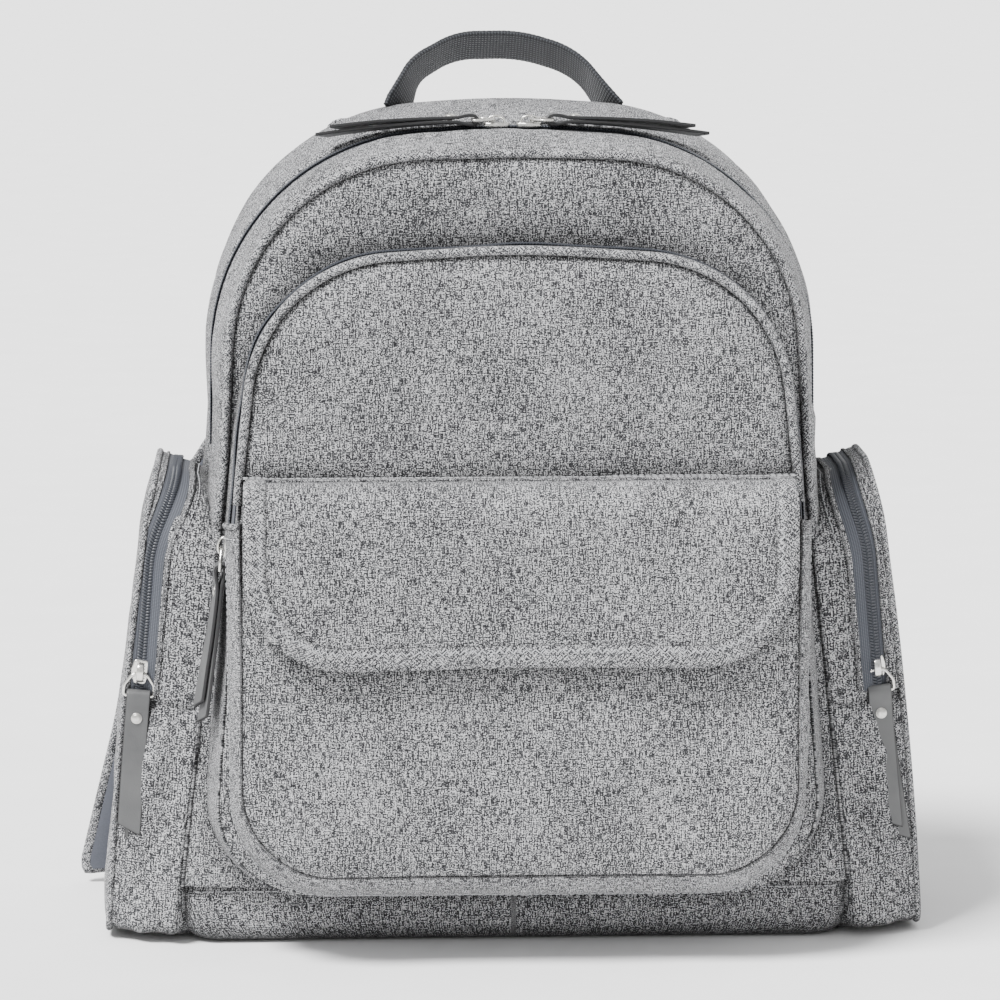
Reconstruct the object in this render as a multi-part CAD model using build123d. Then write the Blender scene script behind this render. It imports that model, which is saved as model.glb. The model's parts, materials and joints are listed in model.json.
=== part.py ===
from build123d import *

import os
from math import atan2, cos, degrees, hypot, sin

# Soft-sided diaper backpack, in millimetres. +Z is up, the front faces -Y, and the
# origin is the middle of the base on the floor. Each sewn panel is its own solid.

# ---- Main body: three upright sections, joined by the gussets ----
BACK_Y = 62.0
ZIP_Y = -15.0
FRONT_Y = -60.0
BASE_FOOT = 163.0
BASE_HALF = 167.0
BASE_BAND = 30.0
FLARE_TOP_Z = 240.0
BACK_TOP_Z = 406.0
ZIP_TOP_Z = 398.0
FRONT_TOP_Z = 388.0
SHOULDER_HALF = 146.0
WAIST_HALF = 148.0
FRONT_INSET = 12.0
SHOULDER_R = 96.0
FOOT_R = 8.0
BAND_R = 25.0
WALL = 3.0
SEAM_GAP = 0.3
LINING_T = 0.8
PADDING_T = 8.0
BOARD_T = 2.5

# ---- Zips ----
TAPE_REACH = 7.0
TAPE_T = 1.0
COIL_HALF = 2.5
COIL_PROUD = 0.8
ZIP_END_Z = 240.0

# ---- Slider, ring, pull and rivet: u across the zip, v along the pull, w outwards ----
SLIDER_HALF = 4.2
SLIDER_BACK = 7.0
SLIDER_FRONT = 5.0
SLIDER_LIFT = 1.2
SLIDER_T = 2.2
BRIDGE_HALF = 1.7
BRIDGE_RISE = 4.0
BRIDGE_T = 1.4
RING_WIRE = 1.6
RING_LENGTH = 10.0
PULL_WIDTH = 11.6
PULL_LENGTH = 74.0
PULL_LAYER = 1.7
PULL_TAIL = 7.0
PULL_SLANT = 5.0
LOOP_CLEARANCE = 0.8
RING_CLEARANCE = 0.6
RIVET_FROM_RING = 11.0
RIVET_SHANK_R = 1.2
RIVET_CAP_R = 2.7
RIVET_CAP_T = 1.1
RIVET_CLEARANCE = 0.05

# ---- Middle pocket ----
MID_DEPTH = 28.0
MID_ZIP_SHIFT = 1.5
MID_FOOT_HALF = 150.0
MID_TOP_HALF = 124.5
MID_TOP_Z = 347.0
MID_TOP_R = 50.0
POCKET_FOOT_Z = 31.0
POCKET_FOOT_R = 45.0
POCKET_WALL = 2.2
PIPING = 4.0
MID_ZIP_END_Z = 195.0
MID_SLIDER_Z = 201.0

# ---- Lower pocket and its flap ----
LOW_DEPTH = 24.0
LOW_BACK_HALF = 142.0
LOW_FRONT_HALF = 133.0
LOW_GUSSET_Z = 214.0
LOW_FRONT_Z = 219.0
FLAP_HALF = 131.0
FLAP_TOP_Z = 236.5
FLAP_BOTTOM_Z = 150.0
FLAP_T = 3.0
FLAP_CORNER_R = 47.0
FLAP_BEND_R = 16.0
FLAP_GAP = 3.4
FLAP_HINGE_OUT = 12.0
FLAP_HINGE_GAP = 1.0
BINDING = 10.0
BINDING_EXTRA = 0.5
SNAP_R = 9.0
SNAP_SOCKET_T = 1.4
SNAP_STUD_T = 1.6
SNAP_Z = 176.0

# ---- Side pockets: p runs front to back, q up the slope of the side, n outwards ----
SIDE_FRONT = -48.0
SIDE_BACK = 56.0
SIDE_HEIGHT = 236.0
SIDE_DEPTH = 32.0
SIDE_TOP_R = 36.0
SIDE_FOOT_R = 12.0
SIDE_WALL = 2.5
SIDE_LIFT = 1.0
SIDE_OFF = 1.2
SIDE_ZIP_END_Q = 119.0
SIDE_TAPE_WIDTH = 8.4
SIDE_SLIDER_Q = 132.0

# ---- Carry handle ----
WEBBING_WIDTH = 25.0
WEBBING_T = 2.4
HANDLE_HALF = 54.0
HANDLE_SHOULDER_HALF = 47.0
HANDLE_SHOULDER = 20.0
HANDLE_RISE = 29.0
HANDLE_LEAN = 35.0
HANDLE_LIFT = 1.4
HANDLE_OUT = 2.5

# ---- Shoulder straps ----
YOKE_HALF = 92.0
YOKE_TOP_Z = 398.0
YOKE_HEIGHT = 34.0
YOKE_T = 3.0
STRAP_T = 11.0
STRAP_OFF = 2.6
STRAP_TOP_Z = 386.0
LEFT_REACH = 219.0
RIGHT_REACH = 190.0
ANCHOR_X = 139.0
ANCHOR_Z = 30.0
ANCHOR_T = 3.0
LADDER_X = 186.0
LADDER_WIDTH = 34.0
LADDER_LENGTH = 26.0
LADDER_T = 5.0
LADDER_BAR = 4.0
TAIL_T = 1.6

BIG = 1000.0


def outline(points, radii):
    """Closed face in (x, z) from its right-hand points, mirrored to the left, corners rounded."""
    left = [(-x, z) for x, z in reversed(points)]
    corners = list(points) + left
    rounds = list(radii) + list(reversed(radii))
    return make_face(FilletPolyline(*corners, radius=rounds, close=True))


def upright(y):
    """Upright plane at depth y, local x to the right and local y up, facing the front."""
    return Plane(origin=(0, y, 0), x_dir=(1, 0, 0), z_dir=(0, -1, 0))


def rim(face, y):
    """Outer wire of an outline stood upright at depth y."""
    return (upright(y) * face).face().outer_wire()


def slab(face, y_front, y_back):
    """Outline carried straight from y_back forward to y_front."""
    return extrude(upright(y_back) * face, amount=y_back - y_front)


def span(x_low, x_high, y_low, y_high, z_low, z_high):
    """Block between two corners."""
    size = (x_high - x_low, y_high - y_low, z_high - z_low)
    middle = ((x_low + x_high) / 2, (y_low + y_high) / 2, (z_low + z_high) / 2)
    return Pos(*middle) * Box(*size)


def depth_band(y_low, y_high, z_low=-BIG, z_high=BIG):
    """Everything between two depths, and between two heights where they are given."""
    return span(-BIG, BIG, y_low, y_high, z_low, z_high)


def inset(face, amount):
    """Outline drawn in by an amount, or out by a negative one."""
    return offset(face, amount=-amount, kind=Kind.INTERSECTION)


def save(shape, name):
    """Writes one node."""
    export_step(shape, f"parts/{name}.step")


# How much of the front's narrowing reaches the band and the waist, and the waist's radius.
BAND_SHARE = 0.15
WAIST_SHARE = 0.6
WAIST_R = 150.0


def body_section(top_z, half_shift):
    """Upright section of the main body, narrowed by half_shift above the base band."""
    points = [
        (BASE_FOOT, 0),
        (BASE_HALF - half_shift * BAND_SHARE, BASE_BAND),
        (WAIST_HALF - half_shift * WAIST_SHARE, FLARE_TOP_Z),
        (SHOULDER_HALF - half_shift, top_z),
    ]
    return outline(points, [FOOT_R, BAND_R, WAIST_R, SHOULDER_R])


BACK_SECTION = body_section(BACK_TOP_Z, 0)
ZIP_SECTION = body_section(ZIP_TOP_Z, 0)
FRONT_SECTION = body_section(FRONT_TOP_Z, FRONT_INSET)


def body_solid(drawn_in, y_front, y_back):
    """Whole body volume, drawn in by an amount, between its front and back faces."""
    back = rim(inset(BACK_SECTION, drawn_in), y_back)
    middle = rim(inset(ZIP_SECTION, drawn_in), ZIP_Y)
    front = rim(inset(FRONT_SECTION, drawn_in), y_front)
    rear_half = Solid.make_loft([back, middle], ruled=True)
    front_half = Solid.make_loft([middle, front], ruled=True)
    return rear_half + front_half


def make_body():
    """Sewn panels of the main compartment, its lining, foam and base board."""
    shell = body_solid(0, FRONT_Y, BACK_Y) - body_solid(WALL, FRONT_Y + WALL, BACK_Y - WALL)
    upper = shell & depth_band(-BIG, BIG, BASE_BAND + SEAM_GAP, BIG)
    back_seam = BACK_Y - WALL
    front_seam = FRONT_Y + WALL
    tape_back = ZIP_Y + TAPE_REACH
    tape_front = ZIP_Y - TAPE_REACH
    save(shell & depth_band(-BIG, BIG, -BIG, BASE_BAND), "base_panel")
    save(upper & depth_band(back_seam, BIG), "back_panel")
    save(upper & depth_band(-BIG, front_seam), "front_panel")
    rear = upper & depth_band(ZIP_Y + SEAM_GAP / 2, back_seam - SEAM_GAP)
    rear -= depth_band(-BIG, tape_back, ZIP_END_Z, BIG)
    save(rear, "rear_gusset")
    front = upper & depth_band(front_seam + SEAM_GAP, ZIP_Y - SEAM_GAP / 2)
    front -= depth_band(tape_front, BIG, ZIP_END_Z, BIG)
    save(front, "front_gusset")
    piping = inset(FRONT_SECTION, -PIPING / 2) - inset(FRONT_SECTION, PIPING / 2)
    piping_back = FRONT_Y - SEAM_GAP
    piping = slab(piping, piping_back - PIPING / 2, piping_back)
    above_mid = depth_band(-BIG, BIG, MID_SLIDER_Z + RING_LENGTH, BIG)
    save(piping & above_mid, "front_piping")

    pad_back = BACK_Y - WALL - SEAM_GAP
    pad_front = pad_back - PADDING_T
    pad_face = inset(ZIP_SECTION, WALL + SEAM_GAP)
    pad = slab(pad_face, pad_front, pad_back) & depth_band(-BIG, BIG, BASE_BAND, BIG)
    save(pad, "back_padding")

    lining_out = WALL + SEAM_GAP
    lining_in = lining_out + LINING_T
    lining_back = pad_front - SEAM_GAP
    lining = body_solid(lining_out, FRONT_Y + lining_out, BACK_Y)
    lining &= depth_band(-BIG, lining_back)
    hollow = body_solid(lining_in, FRONT_Y + lining_in, BACK_Y)
    lining -= hollow & depth_band(-BIG, lining_back - LINING_T)
    slot = depth_band(ZIP_Y - COIL_HALF, ZIP_Y + COIL_HALF, ZIP_END_Z, BIG)
    save(lining - slot, "lining")
    board_z = lining_in + SEAM_GAP
    board_half = BASE_FOOT - lining_in - FOOT_R
    board_front = FRONT_Y + lining_in + SEAM_GAP
    board_back = lining_back - LINING_T - SEAM_GAP
    board = span(-board_half, board_half, board_front, board_back, board_z, board_z + BOARD_T)
    save(fillet(board.edges().filter_by(Axis.Z), FOOT_R), "base_board")


def make_main_zip():
    """Tape halves under the gusset edges, and the coil that stands a little proud."""
    outer = body_solid(TAPE_T, FRONT_Y + TAPE_T, BACK_Y - TAPE_T)
    band = outer - body_solid(2 * TAPE_T, FRONT_Y + 2 * TAPE_T, BACK_Y - 2 * TAPE_T)
    above = ZIP_END_Z + SEAM_GAP
    rear_reach = depth_band(ZIP_Y + SEAM_GAP / 2, ZIP_Y + TAPE_REACH - SEAM_GAP, above, BIG)
    front_reach = depth_band(ZIP_Y - TAPE_REACH + SEAM_GAP, ZIP_Y - SEAM_GAP / 2, above, BIG)
    save(Compound(children=[band & rear_reach, band & front_reach]), "main_zip_tape")
    ring = inset(ZIP_SECTION, -COIL_PROUD) - inset(ZIP_SECTION, TAPE_T - SEAM_GAP)
    coil = slab(ring, ZIP_Y - COIL_HALF, ZIP_Y + COIL_HALF)
    save(coil & depth_band(-BIG, BIG, above, BIG), "main_zip_coil")


def u_block(half, v_low, v_high, w_low, w_high):
    """Block centred across the zip."""
    return span(-half, half, v_low, v_high, w_low, w_high)


BRIDGE_BACK = 5.0
BRIDGE_FRONT = 3.5
SLIDER_CORNER_R = 1.5
RING_OUTER_R = 2.4
RING_INNER_R = 0.8
SLIDER_GAP = 4.0


def make_slider():
    """Slider body with the bridge that the ring hangs from."""
    top = SLIDER_LIFT + SLIDER_T
    base = u_block(SLIDER_HALF, -SLIDER_BACK, SLIDER_FRONT, SLIDER_LIFT, top)
    base = fillet(base.edges().filter_by(Axis.Z), SLIDER_CORNER_R)
    bridge_top = top + BRIDGE_RISE
    bridge = u_block(BRIDGE_HALF, -BRIDGE_BACK, BRIDGE_FRONT, top, bridge_top)
    hole_back = -BRIDGE_BACK + BRIDGE_T
    hole_front = BRIDGE_FRONT - BRIDGE_T
    hole = u_block(BRIDGE_HALF, hole_back, hole_front, top, bridge_top - BRIDGE_T)
    return base + (bridge - hole)


RING_W = SLIDER_LIFT + SLIDER_T + (BRIDGE_RISE - BRIDGE_T) / 2
RING_V = 0.6
RING_END_V = RING_V + RING_LENGTH
RING_HALF = PULL_WIDTH / 2 + RING_CLEARANCE


def make_ring():
    """Rounded wire ring from the bridge to the leather fold."""
    half_wire = RING_WIRE / 2
    outer = Rectangle(2 * RING_HALF + 2 * RING_WIRE, RING_LENGTH + RING_WIRE)
    hole = Rectangle(2 * RING_HALF, RING_LENGTH - RING_WIRE)
    face = fillet(outer.vertices(), RING_OUTER_R) - fillet(hole.vertices(), RING_INNER_R)
    ring = extrude(Pos(0, RING_V + RING_LENGTH / 2, RING_W - half_wire) * face, amount=RING_WIRE)
    return fillet(ring.edges().group_by(Axis.Z)[0] + ring.edges().group_by(Axis.Z)[-1], 0.5)


def make_pull():
    """Leather strip folded round the ring, its under layer a little longer."""
    bar_reach = hypot(RING_WIRE, RING_WIRE) / 2
    hole_r = bar_reach + LOOP_CLEARANCE / 2
    loop_r = hole_r + PULL_LAYER
    half = PULL_WIDTH / 2
    across = Plane(origin=(-half, RING_END_V, RING_W), x_dir=(0, 1, 0), z_dir=(1, 0, 0))
    loop = extrude(across * Circle(loop_r), amount=PULL_WIDTH)
    top_end = RING_END_V + PULL_LENGTH - PULL_TAIL
    under_end = RING_END_V + PULL_LENGTH
    strip = Plane(origin=(0, 0, RING_W))
    top_points = [(-half, RING_END_V), (half, RING_END_V), (half, top_end)]
    top_points.append((-half, top_end - PULL_SLANT))
    under_points = [(-half, RING_END_V), (half, RING_END_V), (half, under_end)]
    under_points.append((-half, under_end - PULL_SLANT))
    top = extrude(strip * make_face(Polyline(*top_points, close=True)), amount=PULL_LAYER)
    under = extrude(strip * make_face(Polyline(*under_points, close=True)), amount=-PULL_LAYER)
    leather = loop + top + under - extrude(across * Circle(hole_r), amount=PULL_WIDTH)
    shank = Pos(0, RING_END_V + RIVET_FROM_RING, RING_W) * Cylinder(
        RIVET_SHANK_R + RIVET_CLEARANCE, 4 * PULL_LAYER
    )
    return leather - shank


def make_rivet():
    """Domed rivet through both layers of the pull."""
    v = RING_END_V + RIVET_FROM_RING
    shank = Pos(0, v, RING_W) * Cylinder(RIVET_SHANK_R, 2 * PULL_LAYER)
    middle = PULL_LAYER + RIVET_CAP_T / 2
    front = Pos(0, v, RING_W + middle) * Cylinder(RIVET_CAP_R, RIVET_CAP_T)
    rounded = fillet(front.edges().sort_by(Axis.Z)[-1], RIVET_CAP_T * 0.8)
    back = Pos(0, v, RING_W - middle) * Cylinder(RIVET_CAP_R, RIVET_CAP_T)
    return shank + rounded + back


def place_pull_set(name, plane):
    """Writes a slider with its ring, pull and rivet on a zip plane."""
    save(plane * make_slider(), f"{name}_slider")
    save(plane * make_ring(), f"{name}_ring")
    save(plane * make_pull(), f"{name}_pull")
    save(plane * make_rivet(), f"{name}_rivet")


def make_main_pulls():
    """Two sliders that meet at the middle of the top, their pulls lying outwards."""
    half_gap = SLIDER_BACK + SLIDER_GAP / 2
    left = Plane(origin=(-half_gap, ZIP_Y, ZIP_TOP_Z), x_dir=(0, 1, 0), z_dir=(0, 0, 1))
    right = Plane(origin=(half_gap, ZIP_Y, ZIP_TOP_Z), x_dir=(0, -1, 0), z_dir=(0, 0, 1))
    place_pull_set("main_left", left)
    place_pull_set("main_right", right)


MID_POINTS = [(MID_FOOT_HALF, POCKET_FOOT_Z), (MID_TOP_HALF, MID_TOP_Z)]
MID_SECTION = outline(MID_POINTS, [POCKET_FOOT_R, MID_TOP_R])
MID_BACK_Y = FRONT_Y - SEAM_GAP
MID_FRONT_Y = FRONT_Y - MID_DEPTH
MID_ZIP_Y = FRONT_Y - MID_DEPTH / 2 - MID_ZIP_SHIFT


def make_middle_pocket():
    """Arched pocket: face panel, gusset ring, zip round the arch and piping."""
    face_back = MID_FRONT_Y + POCKET_WALL
    save(slab(MID_SECTION, MID_FRONT_Y, face_back), "middle_pocket_panel")
    ring = MID_SECTION - inset(MID_SECTION, POCKET_WALL)
    gusset_front = face_back + SEAM_GAP
    gusset = slab(ring, gusset_front, MID_BACK_Y)
    tape_back = MID_ZIP_Y + TAPE_REACH
    gusset -= depth_band(-BIG, tape_back, MID_ZIP_END_Z, BIG)
    save(gusset, "middle_pocket_gusset")
    above = depth_band(-BIG, BIG, MID_ZIP_END_Z + SEAM_GAP, BIG)
    tape_ring = inset(MID_SECTION, TAPE_T) - inset(MID_SECTION, 2 * TAPE_T)
    tape = slab(tape_ring, gusset_front, tape_back - SEAM_GAP)
    save(tape & above, "middle_zip_tape")
    coil_ring = inset(MID_SECTION, -COIL_PROUD) - inset(MID_SECTION, TAPE_T - SEAM_GAP)
    coil = slab(coil_ring, MID_ZIP_Y - COIL_HALF, MID_ZIP_Y + COIL_HALF)
    save(coil & above, "middle_zip_coil")
    piping = inset(MID_SECTION, -PIPING / 2) - inset(MID_SECTION, PIPING / 2)
    piping_back = MID_FRONT_Y - SEAM_GAP
    piping = slab(piping, piping_back - PIPING / 2, piping_back)
    low_end = FLAP_TOP_Z + SEAM_GAP
    save(piping & depth_band(-BIG, BIG, low_end, BIG), "middle_pocket_piping")


def make_middle_pull():
    """Slider at the lower left end of the middle zip, its pull hanging down."""
    run = MID_FOOT_HALF - MID_TOP_HALF
    rise = MID_TOP_Z - POCKET_FOOT_Z
    length = hypot(run, rise)
    x = -(MID_FOOT_HALF - run * (MID_SLIDER_Z - POCKET_FOOT_Z) / rise)
    normal = (-rise / length, 0, run / length)
    side = Plane(origin=(x, MID_ZIP_Y, MID_SLIDER_Z), x_dir=(0, 1, 0), z_dir=normal)
    place_pull_set("middle", side)


LOW_BACK_Y = MID_FRONT_Y - SEAM_GAP
LOW_FRONT_Y = MID_FRONT_Y - LOW_DEPTH


def low_section(half, drawn_in):
    """Section of the lower pocket, open above."""
    face = outline([(half, POCKET_FOOT_Z), (half, FLAP_TOP_Z + BIG)], [POCKET_FOOT_R, 1.0])
    return inset(face, drawn_in)


def make_lower_pocket():
    """Patch pocket: front panel and the gusset round its sides and foot."""
    volumes = []
    for drawn_in in (0, POCKET_WALL):
        back = rim(low_section(LOW_BACK_HALF, drawn_in), LOW_BACK_Y)
        front = rim(low_section(LOW_FRONT_HALF, drawn_in), LOW_FRONT_Y)
        volumes.append(Solid.make_loft([back, front], ruled=True))
    volume, hollow = volumes
    seam = LOW_FRONT_Y + POCKET_WALL
    front = volume & depth_band(-BIG, seam, -BIG, LOW_FRONT_Z)
    save(front, "lower_pocket_front")
    walls = volume - hollow
    gusset = walls & depth_band(seam + SEAM_GAP, BIG, -BIG, LOW_GUSSET_Z)
    save(gusset, "lower_pocket_gusset")
    socket_plane = upright(LOW_FRONT_Y)
    socket = extrude(socket_plane * Pos(0, SNAP_Z) * Circle(SNAP_R), amount=SNAP_SOCKET_T)
    save(socket, "snap_socket")


FLAP_INNER_Y = LOW_FRONT_Y - FLAP_GAP
FLAP_HINGE_Y = MID_FRONT_Y - FLAP_HINGE_OUT


def flap_profile(extra):
    """Bent sheet of the flap, thickened by extra on both faces."""
    start = FLAP_HINGE_Y - FLAP_HINGE_GAP
    front = FLAP_INNER_Y - FLAP_T - extra
    back = FLAP_INNER_Y + extra
    bend = FLAP_BEND_R + extra
    outer = span(-FLAP_HALF, FLAP_HALF, front, start, FLAP_BOTTOM_Z, FLAP_TOP_Z)
    inner_top = FLAP_TOP_Z - FLAP_T - 2 * extra
    inner = span(-BIG, BIG, back, start, FLAP_BOTTOM_Z, inner_top)
    outer = fillet(outer.edges().filter_by(Axis.X).sort_by(Axis.Z)[-2:].sort_by(Axis.Y)[0], bend)
    inner_bend = bend - FLAP_T - 2 * extra
    inner_edge = inner.edges().filter_by(Axis.X).sort_by(Axis.Z)[-2:].sort_by(Axis.Y)[0]
    return outer - fillet(inner_edge, inner_bend)


def make_flap():
    """Flap over the lower pocket, its bound edge, the sewn hem and the snap's stud half."""
    shape = outline([(FLAP_HALF, FLAP_BOTTOM_Z), (FLAP_HALF, BIG)], [FLAP_CORNER_R, 1.0])
    middle = inset(shape, BINDING)
    prism = slab(middle, -BIG, BIG)
    edge = slab(shape - middle, -BIG, BIG)
    save(flap_profile(0) & prism, "flap")
    save(flap_profile(BINDING_EXTRA) & edge, "flap_binding")
    hem_front = FLAP_HINGE_Y + FLAP_HINGE_GAP
    hem_foot = FLAP_TOP_Z - FLAP_T
    hem = span(-FLAP_HALF, FLAP_HALF, hem_front, LOW_BACK_Y, hem_foot, FLAP_TOP_Z)
    save(hem, "flap_hem")
    stud_plane = upright(FLAP_INNER_Y)
    stud = extrude(stud_plane * Pos(0, SNAP_Z) * Circle(SNAP_R), amount=-SNAP_STUD_T)
    save(stud, "snap_stud")


SIDE_LEAN = atan2(BASE_HALF - WAIST_HALF, FLARE_TOP_Z - BASE_BAND)


def side_plane(side):
    """Local frame of a side pocket. Local x is depth, local y runs up the slope."""
    normal = (side * cos(SIDE_LEAN), 0, sin(SIDE_LEAN))
    foot_x = BASE_HALF + BASE_BAND * sin(SIDE_LEAN) / cos(SIDE_LEAN) + SIDE_OFF
    return Plane(origin=(side * foot_x, 0, SIDE_LIFT), x_dir=(0, side, 0), z_dir=normal)


def side_section(side):
    """Arched outline of a side pocket in its own frame."""
    front = side * SIDE_FRONT
    back = side * SIDE_BACK
    points = [(front, 0), (back, 0), (back, SIDE_HEIGHT), (front, SIDE_HEIGHT)]
    radii = [SIDE_FOOT_R, SIDE_FOOT_R, SIDE_TOP_R, SIDE_TOP_R]
    return make_face(FilletPolyline(*points, radius=radii, close=True))


def make_side_pockets():
    """Both side pockets with their zips, and the pull set on each."""
    tapes = []
    coils = []
    for side, name in ((-1, "left"), (1, "right")):
        frame = side_plane(side)
        face = side_section(side)
        panel_foot = SIDE_DEPTH - SIDE_WALL
        panel = extrude(Pos(0, 0, panel_foot) * face, amount=SIDE_WALL)
        save(frame * panel, f"side_pocket_{name}_panel")
        tape_top = panel_foot - SEAM_GAP
        tape_foot = tape_top - SIDE_TAPE_WIDTH
        ring = extrude(face - inset(face, SIDE_WALL), amount=tape_top)
        above_zip = span(-BIG, BIG, SIDE_ZIP_END_Q, BIG, tape_foot - SEAM_GAP, BIG)
        save(frame * (ring - above_zip), f"side_pocket_{name}_gusset")
        above = span(-BIG, BIG, SIDE_ZIP_END_Q + SEAM_GAP, BIG, -BIG, BIG)
        tape_ring = inset(face, TAPE_T) - inset(face, 2 * TAPE_T)
        tape = extrude(Pos(0, 0, tape_foot) * tape_ring, amount=SIDE_TAPE_WIDTH) & above
        coil_ring = inset(face, -COIL_PROUD) - inset(face, TAPE_T - SEAM_GAP)
        coil_foot = tape_foot + SIDE_TAPE_WIDTH / 2 - COIL_HALF
        coil = extrude(Pos(0, 0, coil_foot) * coil_ring, amount=2 * COIL_HALF) & above
        tapes.append(frame * tape)
        coils.append(frame * coil)
        zip_n = tape_foot + SIDE_TAPE_WIDTH / 2
        origin = frame.from_local_coords((side * SIDE_FRONT, SIDE_SLIDER_Q, zip_n))
        pull_frame = Plane(origin=origin, x_dir=frame.z_dir * -side, z_dir=(0, -1, 0))
        place_pull_set(f"side_{name}", pull_frame)
    save(Compound(children=tapes), "side_zip_tapes")
    save(Compound(children=coils), "side_zip_coils")


def make_handle():
    """Webbing arch that leans back from the top seam, above its hinge line."""
    points = [
        (HANDLE_HALF, -HANDLE_RISE),
        (HANDLE_HALF, 0),
        (HANDLE_SHOULDER_HALF, HANDLE_SHOULDER),
        (HANDLE_SHOULDER_HALF * 0.5, HANDLE_RISE),
    ]
    face = outline(points, [5, 20, 18, 60])
    arch = face - inset(face, WEBBING_T)
    band = extrude(arch, amount=WEBBING_WIDTH / 2, both=True)
    band &= span(-BIG, BIG, 0, BIG, -BIG, BIG)
    lean = Rotation(90 - HANDLE_LEAN, 0, 0)
    hinge = Pos(0, BACK_Y + HANDLE_OUT, BACK_TOP_Z + HANDLE_LIFT)
    save(hinge * lean * band, "carry_handle")


STRAP_Y = BACK_Y + YOKE_T + STRAP_OFF


# Strap pad edges in (x, z). The lower points are measured in from the foot's reach.
STRAP_OUTER_FIXED = [(78, STRAP_TOP_Z), (112, 318), (140, 250)]
STRAP_OUTER_SWUNG = [(34, 180), (20, 90), (0, 12)]
STRAP_FOOT = (22, 7)
STRAP_INNER_SWUNG = [(52, 24), (78, 100), (96, 180)]
STRAP_INNER_FIXED = [(78, 260), (48, 322), (20, STRAP_TOP_Z)]


def strap_face(side, reach):
    """Contoured strap pad in (x, z). Reach is how far its foot swings out sideways."""
    outer = STRAP_OUTER_FIXED + [(reach - drawn, z) for drawn, z in STRAP_OUTER_SWUNG]
    inner = [(reach - drawn, z) for drawn, z in STRAP_INNER_SWUNG] + STRAP_INNER_FIXED
    foot = [outer[-1], (reach - STRAP_FOOT[0], STRAP_FOOT[1]), inner[0]]
    edges = [Spline(*outer), Spline(*foot), Spline(*inner), Line(inner[-1], outer[0])]
    face = make_face(edges)
    return face if side > 0 else mirror(face, Plane.YZ)


YOKE_R = 6.0
LADDER_R = 3.0
TAB_R = 2.0
TAB_CLEAR = 1.0
TAIL_OVERLAP = 2.0
TAIL_STEP = 4.0


def make_straps():
    """Yoke, strap pads, ladder locks, webbing runs and the tabs at the base."""
    yoke_face = Pos(0, YOKE_TOP_Z - YOKE_HEIGHT / 2) * RectangleRounded(
        2 * YOKE_HALF, YOKE_HEIGHT, YOKE_R
    )
    yoke_back = BACK_Y + SEAM_GAP + YOKE_T
    save(slab(yoke_face, BACK_Y + SEAM_GAP, yoke_back), "strap_yoke")
    tabs = []
    for side, name, reach in ((-1, "left", LEFT_REACH), (1, "right", RIGHT_REACH)):
        pad = slab(strap_face(side, reach), STRAP_Y, STRAP_Y + STRAP_T)
        save(pad, f"strap_{name}_pad")
        shift = reach - LEFT_REACH
        lock_x = side * (LADDER_X + shift)
        lock_y = STRAP_Y + STRAP_T + SEAM_GAP
        lock_z = ANCHOR_Z + WEBBING_WIDTH / 2
        body = Rectangle(LADDER_LENGTH, LADDER_WIDTH)
        window = Rectangle(LADDER_LENGTH / 2 - 1.5 * LADDER_BAR, WEBBING_WIDTH + 1)
        gap = LADDER_LENGTH / 4 - LADDER_BAR / 4
        lock = fillet(body.vertices(), LADDER_R) - Pos(gap, 0) * window - Pos(-gap, 0) * window
        lock = slab(Pos(lock_x, lock_z) * lock, lock_y, lock_y + LADDER_T)
        save(lock, f"strap_{name}_adjuster")
        run_y = lock_y + LADDER_T + SEAM_GAP
        tab_x = ANCHOR_X + shift
        start = side * (abs(lock_x) + LADDER_LENGTH / 2)
        corner = side * (tab_x - WEBBING_WIDTH / 2 + TAIL_OVERLAP)
        drop_x = corner - side * TAIL_STEP
        tab_y = BACK_Y + SEAM_GAP + ANCHOR_T + TAB_CLEAR
        inner_y = tab_y + TAIL_T
        path = [(start, run_y), (start, run_y + TAIL_T)]
        path += [(corner, run_y + TAIL_T), (drop_x, run_y)]
        path += [(drop_x, tab_y), (drop_x + side * TAIL_T, tab_y)]
        path += [(drop_x + side * TAIL_T, inner_y), (corner, run_y)]
        tail = make_face(Polyline(*path, close=True))
        tail = extrude(Pos(0, 0, ANCHOR_Z) * tail, amount=WEBBING_WIDTH)
        save(tail, f"strap_{name}_webbing")
        tab = Pos(side * tab_x, lock_z) * RectangleRounded(WEBBING_WIDTH, WEBBING_WIDTH, TAB_R)
        tabs.append(slab(tab, BACK_Y + SEAM_GAP, BACK_Y + SEAM_GAP + ANCHOR_T))
    save(Compound(children=tabs), "strap_tabs")


os.makedirs("parts", exist_ok=True)
make_body()
make_main_zip()
make_main_pulls()
make_middle_pocket()
make_middle_pull()
make_lower_pocket()
make_flap()
make_side_pockets()
make_handle()
make_straps()
print("side lean", round(degrees(SIDE_LEAN), 3), "ring axis", RING_V, RING_W, RING_END_V)
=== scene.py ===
import json
import logging
from dataclasses import dataclass, field
from enum import Enum
from typing import Sequence

import bmesh
import bpy
import numpy as np
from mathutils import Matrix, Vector
from numpy.typing import NDArray


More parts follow.
